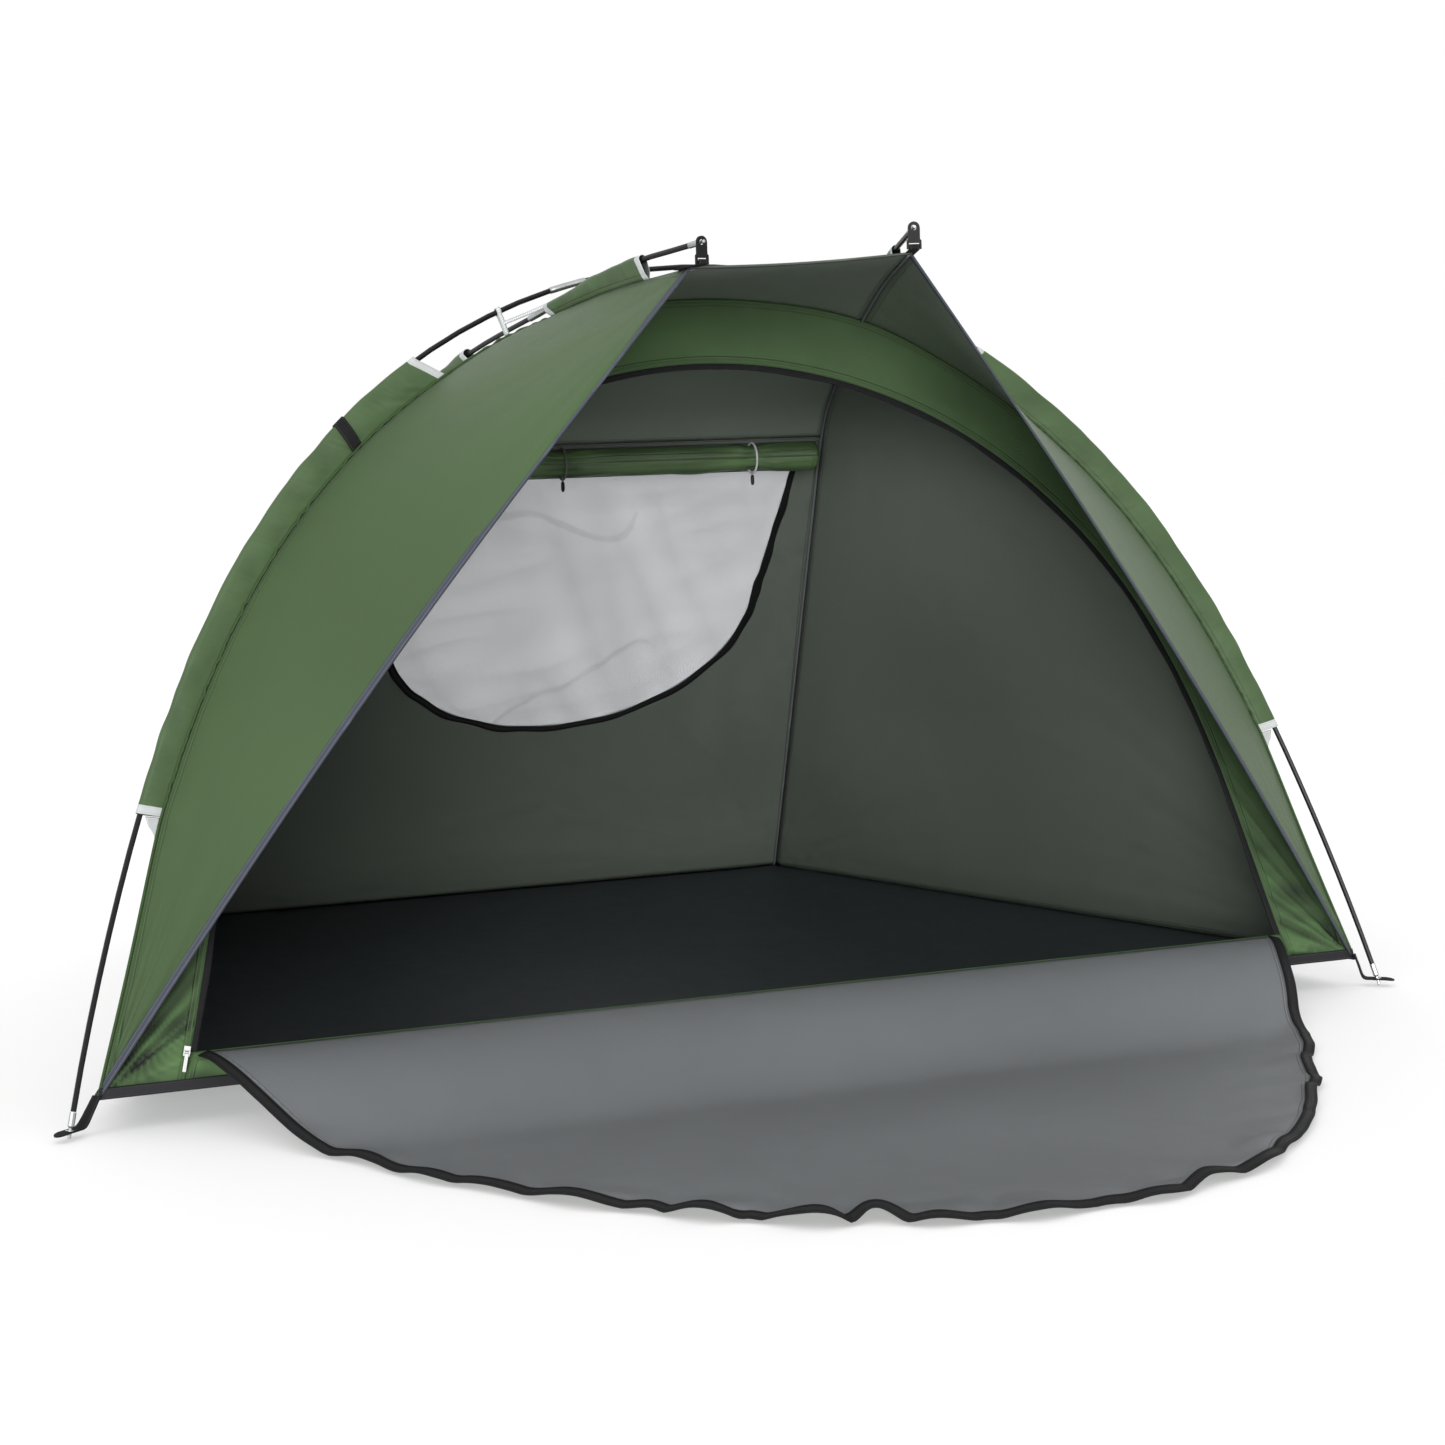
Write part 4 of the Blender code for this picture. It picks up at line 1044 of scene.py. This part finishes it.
def sew_sleeves():
    """The hoop's, visor's and back's sleeves, with a gusset of tape at each hoop sleeve's foot."""
    for word, side in SIDES.items():
        ridge = RIDGES[side]

        def angle(v):
            return LEG_ANGLE + (SLEEVE_END_ANGLE - LEG_ANGLE) * v

        sleeve(f"{word}_hoop_sleeve_cloth", lambda v, s=side: mirrored(hoop_seam(angle(v)), s),
               lambda v, s=side: mirrored(hoop_point(angle(v)), s), [f"{word}_hoop_sleeve"], 300, 0.0064,
               0.1138, skew=(0.010, 0.040))
        for place, start, end, rows, bore, girth, skew in (
            ("visor", 0.120, ridge.crossing - 0.045, 90, 0.0064, 0.081, (-0.05, -0.04)),
            ("back", ridge.crossing + 0.215, ridge.seam.length - 0.34, 340, 0.0078, 0.0866,
             (-0.012, 0.0)),
        ):
            def run(v, a=start, b=end):
                return a + (b - a) * v

            sleeve(f"{word}_{place}_sleeve_cloth", lambda v, r=run, g=ridge: g.seam.at(r(v)),
                   lambda v, r=run, g=ridge: g.over(r(v)), [f"{word}_{place}_sleeve"], rows, bore, girth,
                   skew=skew)
        foot = [mirrored(corner, side) for corner in (
            hoop_point(LEG_ANGLE, 0.0075),
            hoop_seam(LEG_ANGLE + 0.006, -0.001),
            hoop_seam(LEG_ANGLE - 0.034, -0.001),
        )]

        def patch(u, v, foot=foot):
            return foot[0].lerp(foot[1], u).lerp(foot[2], v * (0.35 + 0.65 * u))

        panel(f"{word}_sleeve_gusset", patch, 8, 8, ("tape",), (side, 0, 0), thick=0.0008, cloth=None)


def sew_edges(sizes):
    """Tapes, hems and zips along the panels' edges."""
    low = math.asin((SILL_UP - 0.012) / DOORWAY_REACH)
    count = 200
    angles = [math.pi - low + (2 * low - math.pi) * k / count for k in range(count + 1)]
    line = [doorway_point(a, 0.0035 + 0.0030 * noise.noise(Vector((k * 0.16, 2, 0))), -0.0012)
            for k, a in enumerate(angles)]
    wide = [(doorway_point(a, -0.02) - doorway_point(a)).normalized() for a in angles]
    ribbon("doorway_zip", line, wide, sizes.doorway_zip, ("zip",), thick=0.0018,
           stands_for=["door_zip_track"])
    half = hoop_seam(HEM_ANGLE).x - 0.001
    hem = [on_front(-half + 2 * half * k / 120, HEM_UP + 0.006, 0.0040) for k in range(121)]

    def stir(u, v):
        return Vector((0, -0.0015 * noise.noise(Vector((v * 30, u, 1))), 0))

    ribbon("front_hem", hem, [on_front(0, 1) - on_front(0, 0)] * 121, sizes.hem, ("hem",), thick=0.0020,
           lift=stir)
    for word, side in SIDES.items():
        ridge = RIDGES[side]
        count = 150
        runs = [ridge.seam.length * k / count for k in range(count + 1)]
        inner = [ridge.seam.at(r) for r in runs]
        wide = [Vector((-side, 0, 0))] * (count + 1)
        drop = Vector((-side * 0.0035, -0.0022, -0.0028))
        ribbon(f"{word}_ridge_seam_tape", [p + drop for p in inner], wide, sizes.seam_tape,
               ("seam_tape",), thick=0.0010)
        top = math.pi / 2 - 0.02
        piping = []
        for k in range(441):
            angle = HEM_ANGLE + (top - HEM_ANGLE) * k / 440
            ruffle = min(max((angle - LEG_ANGLE) / 0.06, 0.0), 1.0)
            piping.append(mirrored(hoop_seam(
                angle, -0.0012 + 0.0030 * ruffle * noise.noise(Vector((k * 0.30, 0, side))),
                0.0020 + 0.0016 * ruffle * noise.noise(Vector((k * 0.37, 4, side)))), side))
        tube(f"{word}_hoop_piping", piping, 0.0021, "piping", sides=8)
        corner, back = mirrored(hoop_seam(HEM_ANGLE), side), ridge.seam.at(ridge.seam.length)
        foot = [corner.lerp(back, k / 60) + Vector((side * 0.0015, 0, 0.004)) for k in range(61)]
        upright = Vector((-side * 0.25, 0, 1)).normalized()
        ribbon(f"{word}_wall_hem", foot, [upright] * 61, sizes.hem, ("hem",), thick=0.0024)
    left, right = RIDGES[-1].seam.at(9), RIDGES[1].seam.at(9)
    foot = [left.lerp(right, k / 40) + Vector((0, 0.0012, 0.005)) for k in range(41)]
    ribbon("back_hem", foot, [Vector((0, -0.5, 0.86))] * 41, sizes.hem, ("hem",), thick=0.0024)


def eyelet(name, centre, axis, radius, wire):
    """A small metal ring, set in webbing."""
    axis = axis.normalized()
    side = axis.orthogonal().normalized()
    shape = bmesh.new()
    place = Matrix((side, axis, side.cross(axis))).transposed().to_4x4()
    place.translation = centre + side * radius
    bmesh.ops.create_circle(shape, segments=10, radius=wire, matrix=place)
    bmesh.ops.spin(shape, geom=shape.verts[:] + shape.edges[:], cent=centre, axis=axis, angle=math.tau,
                   steps=32, use_merge=True)
    bmesh.ops.remove_doubles(shape, verts=shape.verts, dist=0.00002)
    bmesh.ops.recalc_face_normals(shape, faces=shape.faces)
    return piece_from(shape, name, ["steel"], "tent")


def sew_feet():
    """The four webbing feet, each with an eyelet round its pole's pin."""
    corner = hoop_seam(HEM_ANGLE)
    front_pin = hoop_point(PIN_UP / HALF_FEET)
    back_line = RIDGES[1].pole
    down = back_line.direction(back_line.length - 0.03)
    down_flat = Vector((down.x, down.y, 0)).normalized()
    back_pin = back_line.at(back_line.length) - down * (PIN_UP / -down.z)
    for word, side in SIDES.items():
        for place, pin, way, pole, top in (
            ("front", front_pin, Vector((0.78, -0.62, 0)), hoop_point(0.02) - hoop_point(0),
             corner + Vector((0.002, -0.002, 0.006))),
            ("back", back_pin, down_flat, down, at(RIDGE_HALF_BACK, 1.628, 0.010)),
        ):
            sideways = Vector((way.y, -way.x, 0)).normalized()
            bend = pin - way * 0.022
            knots = [top, top.lerp(bend, 0.45), bend + Vector((0, 0, 0.002)), pin - way * 0.008, pin,
                     pin + way * 0.014, pin + way * 0.0275 + Vector((0, 0, -0.0015))]
            points = [mirrored(p, side) for p in catmull(knots, 6)]
            wide = [mirrored(sideways, side)] * len(points)

            def width(v):
                if v < 0.86:
                    return 0.015 + 0.005 * min(v / 0.5, 1.0)
                return 0.020 * math.sqrt(max(0.06, 1 - ((v - 0.86) / 0.14) ** 2))

            ribbon(f"{word}_{place}_foot_webbing", points, wide, width, ("webbing",), thick=0.0018,
                   stands_for=[f"foot_strap_{word}_{place}"], rows=len(points) - 1)
            eyelet(f"{word}_{place}_foot_eyelet", mirrored(pin, side), mirrored(pole, side), 0.0058,
                   0.0014)


def fit_visor():
    """The webbing from each visor buckle down to the seam."""
    for word, side in SIDES.items():
        ridge = RIDGES[side]
        ahead = ridge.pole.direction(0.02)
        eye = ridge.pole.at(TIP_LONG) - ahead * (TIP_LONG + PIN_LONG * 0.5)
        place = facing(eye, Vector((ahead.y, -ahead.x, 0)), Vector((0, 0, 1)))
        wide = place.to_3x3() @ Vector((1, 0, 0))
        slot_place = place @ Vector((0, -0.0275, 0))
        corner = ridge.seam.at(0.004)
        out = place.to_3x3() @ Vector((0, 0, 1))
        front = [slot_place + out * 0.0024 + Vector((0, 0, 0.004)),
                 slot_place + out * 0.0034 - Vector((0, 0, 0.002)),
                 slot_place.lerp(corner, 0.5) - Vector((0, 0, 0.001)), corner + Vector((0, 0, 0.001)),
                 ridge.seam.at(0.030) + Vector((0, 0, 0.0015))]
        points = catmull(front, 5)
        ribbon(f"{word}_visor_webbing", points, [wide] * len(points), 0.015, ("webbing",), thick=0.0016,
               stands_for=[f"visor_strap_{word}"])


def hoop_place(angle, side, more=0.0):
    """A place on the hoop: the pole, the seam under it, and the ways along, outward and to the front."""
    centre, root = mirrored(hoop_point(angle), side), mirrored(hoop_seam(angle, more), side)
    ahead = mirrored((hoop_point(angle + 0.02) - hoop_point(angle - 0.02)).normalized(), side)
    outward = (centre - root).normalized()
    front = ahead.cross(outward).normalized()
    return centre, root, ahead, outward, -front if front.y > 0 else front


def round_pole(centre, outward, front, radius, reach):
    """Points round a pole's outer side, this many degrees each way."""
    turns = [math.radians(degrees) for degrees in range(-reach, reach + 1, 20)]
    return [centre + (outward * math.cos(t) + front * math.sin(t)) * radius for t in turns]


def fit_ties():
    """The white ties at the pole crossings, and the strap that closes round the left sleeve."""
    for word, side in SIDES.items():
        hoop, low, ahead, outward, front = hoop_place(CROSSING_TIE_ANGLE, side, -0.003)
        wrap = round_pole(hoop, outward, front, 0.0062, 150)
        rise = [low.lerp(wrap[0], k / 5) for k in range(5)]
        fall = [wrap[-1].lerp(low, k / 5) + front * 0.002 for k in range(1, 6)]
        points = [*rise, *wrap, *fall]
        ribbon(f"{word}_crossing_tape", points, [ahead] * len(points), 0.0075, ("tape",), thick=0.0008,
               stands_for=[f"crossing_tie_{word}"], columns=3)
        knot = hoop.lerp(low, 0.52) + front * 0.003
        ridge_near = RIDGES[side].pole.at(RIDGES[side].pole.nearest(low) - 0.060)
        tail = catmull([
            knot,
            knot + Vector((-side * 0.010, -0.006, 0.004)),
            ridge_near.lerp(knot, 0.4) + Vector((0, 0, 0.003)),
            ridge_near + Vector((0, 0, 0.006)),
        ], 8)
        ribbon(f"{word}_crossing_tape_tail", tail, [Vector((0, 0, 1))] * len(tail), 0.006, ("tape",),
               thick=0.0008, columns=3)
    centre, root, ahead, outward, front = hoop_place(SLEEVE_STRAP_ANGLE, -1)
    arc = round_pole(centre, outward, front, 0.0082, 100)
    points = [root.lerp(arc[0], 0.25) - front * 0.0050, *arc, root.lerp(arc[-1], 0.55) + front * 0.0052,
              root.lerp(arc[-1], 0.1) + front * 0.0040]
    points = catmull(points, 3)
    ribbon("left_sleeve_strap", points, [ahead] * len(points), 0.020, ("webbing",), thick=0.0014,
           stands_for=["sleeve_strap_left"])


def dress_poles(sizes):
    """Bare metal ferrules over the joints of the poles, and looks for the pieces that stay as packed."""
    end = TIP_LONG + PIN_LONG + 0.0012
    lines = {"hoop": (HOOP, end, HOOP.length - end, 7)}
    for word, side in SIDES.items():
        pole = RIDGES[side].pole
        lines[f"ridge_{word}"] = (pole, TIP_LONG, pole.length - end - 0.003, 5)
    for word, (route, first, last, sections) in lines.items():
        long = (last - first) / sections
        for k in range(1, sections):
            joint = first + k * long
            start = joint - sizes.ferrule
            span = [start - 0.0005, start + 0.001,
                    *(joint - sizes.ferrule * share for share in (0.8, 0.78, 0.4)),
                    joint - 0.004, joint - 0.0035, joint]
            radii = [0.0048, 0.0051, 0.0051, 0.0049, 0.0051, 0.0051, 0.0049, 0.0050]
            tube(f"{word}_ferrule_{k}", [route.at(s) for s in span], radii, "steel", sides=16)
    for name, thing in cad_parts.items():
        look = None
        if "_section_" in name:
            look = "rod"
        elif "_tip_" in name:
            look = "steel"
        elif name in ("zip_slider", "zip_pull"):
            look = "zip_metal"
        elif name.startswith(("visor_buckle", "flap_toggle")):
            look = "plastic"
        if look:
            for place in thing.material_slots:
                place.material = LOOKS[look]


# Settings

class ShelterColours(bpy.types.PropertyGroup):
    """Colours of the shelter's cloth and fittings."""

    green: bpy.props.FloatVectorProperty(name="Green", description="Outside of the cloth", subtype="COLOR",
                                         default=(0.045, 0.082, 0.030), min=0, max=1)
    coated: bpy.props.FloatVectorProperty(name="Coating", description="Coated inside of the cloth",
                                          subtype="COLOR", default=(0.088, 0.104, 0.086), min=0, max=1)
    door: bpy.props.FloatVectorProperty(name="Door", description="Inside of the door", subtype="COLOR",
                                        default=(0.150, 0.158, 0.166), min=0, max=1)
    floor: bpy.props.FloatVectorProperty(name="Groundsheet", description="Groundsheet", subtype="COLOR",
                                         default=(0.030, 0.036, 0.042), min=0, max=1)
    net: bpy.props.FloatVectorProperty(name="Net", description="Window net", subtype="COLOR",
                                       default=(0.64, 0.66, 0.69), min=0, max=1)
    tape: bpy.props.FloatVectorProperty(name="Tape", description="Reinforcement tape", subtype="COLOR",
                                        default=(0.42, 0.44, 0.44), min=0, max=1)
    binding: bpy.props.FloatVectorProperty(name="Binding", description="Binding of the wings",
                                           subtype="COLOR", default=(0.054, 0.060, 0.077), min=0, max=1)


class ShelterSizes(bpy.types.PropertyGroup):
    """Widths of the shelter's tapes and lengths of its small parts."""

    binding: bpy.props.FloatProperty(name="Wing binding", description="Width of the wings' binding",
                                     subtype="DISTANCE", unit="LENGTH", default=0.012, min=0.004, max=0.04)
    door_zip: bpy.props.FloatProperty(name="Door zip", description="Width of the door's half of the zip",
                                      subtype="DISTANCE", unit="LENGTH", default=0.016, min=0.006, max=0.04)
    doorway_zip: bpy.props.FloatProperty(name="Doorway zip",
                                         description="Width of the doorway's half of the zip",
                                         subtype="DISTANCE", unit="LENGTH", default=0.011, min=0.006,
                                         max=0.04)
    hem: bpy.props.FloatProperty(name="Hem", description="Width of the hems along the ground",
                                 subtype="DISTANCE", unit="LENGTH", default=0.016, min=0.006, max=0.04)
    seam_tape: bpy.props.FloatProperty(name="Seam tape", description="Width of the ridge seams' tape",
                                       subtype="DISTANCE", unit="LENGTH", default=0.0045, min=0.002,
                                       max=0.02)
    ferrule: bpy.props.FloatProperty(name="Ferrule", description="Length of the poles' ferrules",
                                     subtype="DISTANCE", unit="LENGTH", default=0.060, min=0.02, max=0.12)


class ShelterStage(bpy.types.PropertyGroup):
    """Floor, light and camera."""

    lens: bpy.props.FloatProperty(name="Lens", description="Focal length", subtype="DISTANCE_CAMERA",
                                  unit="CAMERA", default=63.0, min=20, max=200)
    sky: bpy.props.FloatProperty(name="Sky", description="Brightness of the surroundings", default=1.0,
                                 min=0)
    front: bpy.props.FloatProperty(name="Front light",
                                   description="Strength of the broad light from the front",
                                   default=3.0, min=0)
    upper: bpy.props.FloatProperty(name="Upper light",
                                   description="Strength of the broad light from the upper left",
                                   default=0.3, min=0)


def times(colour, factor):
    return tuple(part * factor for part in colour)


def dye(settings):
    """Mixes every look, the first time that it is called."""
    if LOOKS:
        return
    green, coated = tuple(settings.green), tuple(settings.coated)
    thread = times(green, 1.9)
    dark = (0.010, 0.010, 0.011)
    LOOKS.update({
        "green": cloth_look("Green polyester", green, thread, 0.50, Specular_IOR_Level=0.25,
                            Sheen_Weight=0.06, Sheen_Roughness=0.4),
        # The front's copy of the green cloth is made a little greener and lighter, and the roll's copy
        # lighter still, painting the light on the arch, sill and rolled flap.
        "green_front": cloth_look("Green front polyester",
                                  (green[0] * 0.98, green[1] * 1.10, green[2] * 0.98), thread, 0.46,
                                  crinkle=0.6, fold_shade=0.50, Specular_IOR_Level=0.35),
        "green_roll": cloth_look("Green rolled polyester", times(green, 1.3), thread, 0.36, crinkle=0.9,
                                 fold_shade=0.5, Specular_IOR_Level=0.6),
        "coated": cloth_look("Coated polyester", coated, times(coated, 1.8), 0.48,
                             Specular_IOR_Level=0.4),
        # These copies of the coated cloth are each made lighter by their own factor, painting the light
        # that reaches the back wall, side walls, wings, roof and visor inside.
        "coated_back": cloth_look("Coated back wall", times(coated, 1.35), times(coated, 2.2),
                                  0.50, Specular_IOR_Level=0.4),
        "wall_inside": cloth_look("Coated side walls", times(coated, 1.25), times(coated, 2.2),
                                  0.50, Specular_IOR_Level=0.4),
        # The wings' coating gets strong streaks, which paint sheen as light and dark streaks along the
        # wings.
        "wing_inside": cloth_look("Coated wings", (coated[0] * 1.15, coated[1] * 1.18, coated[2] * 1.12),
                                  times(coated, 1.8), 0.38, fold_shade=0.25, streaks_and_sheen=0.40,
                                  Specular_IOR_Level=0.6),
        "roof_lit_coating": cloth_look("Coated roof", times(coated, 1.9), times(coated, 1.8), 0.5,
                                  Specular_IOR_Level=0.4),
        "visor_lit_coating": cloth_look("Coated visor", times(coated, 1.6), times(coated, 2.0), 0.48,
                                   Specular_IOR_Level=0.4),
        "coated_hem": webbing_look("Coated hem", times(coated, 0.8), coated, 0.6),
        "door": cloth_look("Door polyester", tuple(settings.door), (0.30, 0.31, 0.32), 0.44, crinkle=0.25,
                           Specular_IOR_Level=0.45),
        "floor": cloth_look("Groundsheet", tuple(settings.floor), (0.05, 0.05, 0.055), 0.50, crinkle=0.5,
                            weave=0.0016, Specular_IOR_Level=0.35),
        "sleeve": sleeve_look("Sleeve polyester", green, tuple(settings.tape)),
        "net": net_look("Window net", tuple(settings.net)),
        "binding": webbing_look("Wing binding", tuple(settings.binding), (0.20, 0.21, 0.25), 0.7, 0.0012),
        "webbing": webbing_look("Black webbing", dark, (0.05, 0.05, 0.05), 0.8),
        "hem": webbing_look("Black hem", (0.014, 0.014, 0.016), (0.06, 0.06, 0.06), 0.5, 0.0024),
        "seam_tape": webbing_look("Seam tape", (0.120, 0.128, 0.132), (0.24, 0.25, 0.26), 0.6, 0.0012),
        "dull_tape": webbing_look("Dull tape", (0.125, 0.135, 0.128), (0.22, 0.23, 0.23), 0.7, 0.0012),
        "piping": webbing_look("Green piping", times(green, 0.9), thread, 0.6, 0.0026),
        "tape": webbing_look("Pale tape", tuple(settings.tape), (0.75, 0.76, 0.77), 0.8, 0.0014),
        "elastic": webbing_look("White elastic", (0.62, 0.63, 0.62), (0.8, 0.8, 0.8), 0.8, 0.0010),
        "zip": zip_look("Black zip", (0.009, 0.009, 0.010), (0.06, 0.06, 0.06)),
        "rod": rod_look("Glass fibre", (0.006, 0.006, 0.007)),
        "steel": metal_look("Drawn aluminium", (0.46, 0.47, 0.48)),
        "zip_metal": metal_look("Zip metal", (0.52, 0.52, 0.51), 0.35, 300.0),
        "plastic": plastic_look("Black nylon", (0.006, 0.006, 0.007)),
    })


# Operators

class SHELTER_OT_wings(bpy.types.Operator):
    """Sew the two side wings and bind their free edges"""

    bl_idname = "shelter.wings"
    bl_label = "Wings"

    def execute(self, context):
        dye(context.scene.shelter_colours)
        sew_wings(context.scene.shelter_sizes)
        return {"FINISHED"}


class SHELTER_OT_side_walls(bpy.types.Operator):
    """Sew the two side walls"""

    bl_idname = "shelter.side_walls"
    bl_label = "Side Walls"

    def execute(self, context):
        dye(context.scene.shelter_colours)
        sew_side_walls()
        return {"FINISHED"}


class SHELTER_OT_top(bpy.types.Operator):
    """Sew the visor, the roof and the eave hem"""

    bl_idname = "shelter.top"
    bl_label = "Visor and Roof"

    def execute(self, context):
        dye(context.scene.shelter_colours)
        sew_top()
        return {"FINISHED"}


class SHELTER_OT_front(bpy.types.Operator):
    """Sew the arch round the doorway and the sill"""

    bl_idname = "shelter.front"
    bl_label = "Front"

    def execute(self, context):
        dye(context.scene.shelter_colours)
        sew_front()
        return {"FINISHED"}


class SHELTER_OT_back(bpy.types.Operator):
    """Sew the back wall, its net window and the zip round it"""

    bl_idname = "shelter.back"
    bl_label = "Back Wall"

    def execute(self, context):
        dye(context.scene.shelter_colours)
        sew_back()
        return {"FINISHED"}


class SHELTER_OT_flap(bpy.types.Operator):
    """Roll up the window's cover and put its elastic loops on"""

    bl_idname = "shelter.flap"
    bl_label = "Rolled Flap"

    def execute(self, context):
        dye(context.scene.shelter_colours)
        roll_flap()
        return {"FINISHED"}


class SHELTER_OT_groundsheet(bpy.types.Operator):
    """Lay the groundsheet"""

    bl_idname = "shelter.groundsheet"
    bl_label = "Groundsheet"

    def execute(self, context):
        dye(context.scene.shelter_colours)
        sew_floor()
        return {"FINISHED"}


class SHELTER_OT_door(bpy.types.Operator):
    """Lay out the unzipped door and its half of the zip"""

    bl_idname = "shelter.door"
    bl_label = "Door"

    def execute(self, context):
        dye(context.scene.shelter_colours)
        sew_door(context.scene.shelter_sizes)
        return {"FINISHED"}


class SHELTER_OT_sleeves(bpy.types.Operator):
    """Sew the pole sleeves and their gussets"""

    bl_idname = "shelter.sleeves"
    bl_label = "Sleeves"

    def execute(self, context):
        dye(context.scene.shelter_colours)
        sew_sleeves()
        return {"FINISHED"}


class SHELTER_OT_edges(bpy.types.Operator):
    """Sew the hems, seam tapes, piping and the doorway's zip"""

    bl_idname = "shelter.edges"
    bl_label = "Edges"

    def execute(self, context):
        dye(context.scene.shelter_colours)
        sew_edges(context.scene.shelter_sizes)
        return {"FINISHED"}


class SHELTER_OT_feet(bpy.types.Operator):
    """Make the webbing feet and set their eyelets"""

    bl_idname = "shelter.feet"
    bl_label = "Feet"

    def execute(self, context):
        dye(context.scene.shelter_colours)
        sew_feet()
        return {"FINISHED"}


class SHELTER_OT_visor_fittings(bpy.types.Operator):
    """Thread the visor's webbing through its buckles"""

    bl_idname = "shelter.visor_fittings"
    bl_label = "Visor Fittings"

    def execute(self, context):
        dye(context.scene.shelter_colours)
        fit_visor()
        return {"FINISHED"}


class SHELTER_OT_ties(bpy.types.Operator):
    """Tie the tapes at the crossings and close the sleeve strap"""

    bl_idname = "shelter.ties"
    bl_label = "Ties"

    def execute(self, context):
        dye(context.scene.shelter_colours)
        fit_ties()
        return {"FINISHED"}


class SHELTER_OT_poles(bpy.types.Operator):
    """Fit the ferrules and finish the poles and the small parts"""

    bl_idname = "shelter.poles"
    bl_label = "Poles"

    def execute(self, context):
        dye(context.scene.shelter_colours)
        dress_poles(context.scene.shelter_sizes)
        return {"FINISHED"}


class SHELTER_OT_stage(bpy.types.Operator):
    """Lay the pale floor, hang the studio lights and set up the camera"""

    bl_idname = "shelter.stage"
    bl_label = "Stage"

    def execute(self, context):
        scene = context.scene
        settings = scene.shelter_stage
        look = Look("Studio floor", 0.9, Specular_IOR_Level=0.1, Emission_Strength=0.32,
                    Emission_Color=(1, 1, 1, 1))
        look.feed("Base Color", look.shaded((0.64, 0.64, 0.64), 0.99 + look.noise(0.6) * 0.02))
        shape = bmesh.new()
        bmesh.ops.create_grid(shape, x_segments=1, y_segments=1, size=40)
        bmesh.ops.translate(shape, verts=shape.verts, vec=(0, 0, -0.0012))
        data = bpy.data.meshes.new("studio_floor")
        shape.to_mesh(data)
        shape.free()
        floor = bpy.data.objects.new("studio_floor", data)
        data.materials.append(look.material)
        scene.collection.objects.link(floor)
        world = bpy.data.worlds.new("Studio")
        world.use_nodes = True
        world.node_tree.nodes["Background"].inputs["Color"].default_value = (1.0, 1.0, 1.0, 1.0)
        world.node_tree.nodes["Background"].inputs["Strength"].default_value = settings.sky
        scene.world = world
        for name, aim, spread, power in (
            ("front_light", Vector((0.33, 0.92, -0.10)), 28, settings.front),
            ("upper_light", Vector((0.75, 0.35, -0.80)), 40, settings.upper),
        ):
            lamp = bpy.data.lights.new(name, "SUN")
            lamp.energy = power
            lamp.angle = math.radians(spread)
            light = bpy.data.objects.new(name, lamp)
            light.location = -aim * 5
            light.rotation_euler = aim.to_track_quat("-Z", "Y").to_euler()
            scene.collection.objects.link(light)
        scene.view_settings.view_transform = "Standard"
        self.add_camera(scene, settings.lens)
        return {"FINISHED"}

    @staticmethod
    def add_camera(scene, lens):
        yaw, pitch, roll = math.radians(19.59), math.radians(-6.01), math.radians(-1.88)
        ahead = Vector((math.sin(yaw) * math.cos(pitch), math.cos(yaw) * math.cos(pitch),
                        math.sin(pitch)))
        level = Vector((math.cos(yaw), -math.sin(yaw), 0))
        above = level.cross(ahead)
        right = level * math.cos(roll) + above * math.sin(roll)
        up = above * math.cos(roll) - level * math.sin(roll)
        data = bpy.data.cameras.new("camera")
        data.lens = lens
        data.sensor_width = 36.0
        camera = bpy.data.objects.new("camera", data)
        place = Matrix((right, up, -ahead)).transposed().to_4x4()
        place.translation = at(-1.325, -3.494, 0.900)
        camera.matrix_world = place
        scene.collection.objects.link(camera)
        scene.camera = camera


PARTS = (
    SHELTER_OT_stage,
    SHELTER_OT_wings,
    SHELTER_OT_side_walls,
    SHELTER_OT_top,
    SHELTER_OT_front,
    SHELTER_OT_back,
    SHELTER_OT_flap,
    SHELTER_OT_groundsheet,
    SHELTER_OT_door,
    SHELTER_OT_sleeves,
    SHELTER_OT_edges,
    SHELTER_OT_feet,
    SHELTER_OT_visor_fittings,
    SHELTER_OT_ties,
    SHELTER_OT_poles,
)
GROUPS = {"shelter_colours": ShelterColours, "shelter_sizes": ShelterSizes, "shelter_stage": ShelterStage}


class SHELTER_PT_panel(bpy.types.Panel):
    """The shelter's pieces in the 3D view's sidebar"""

    bl_idname = "SHELTER_PT_panel"
    bl_label = "Beach Shelter"
    bl_space_type = "VIEW_3D"
    bl_region_type = "UI"
    bl_category = "Shelter"

    def draw(self, context):
        for place in GROUPS:
            group = getattr(context.scene, place)
            for name in group.__annotations__:
                self.layout.prop(group, name)
        for part in PARTS:
            self.layout.operator(part.bl_idname)


CLASSES = (*GROUPS.values(), *PARTS, SHELTER_PT_panel)


def register():
    for each in CLASSES:
        bpy.utils.register_class(each)
    for place, group in GROUPS.items():
        setattr(bpy.types.Scene, place, bpy.props.PointerProperty(type=group))


def unregister():
    for place in GROUPS:
        delattr(bpy.types.Scene, place)
    for each in reversed(CLASSES):
        bpy.utils.unregister_class(each)


def main():
    register()
    for part in PARTS:
        group, name = part.bl_idname.split(".")
        getattr(getattr(bpy.ops, group), name)()


if __name__ == "__main__":
    main()
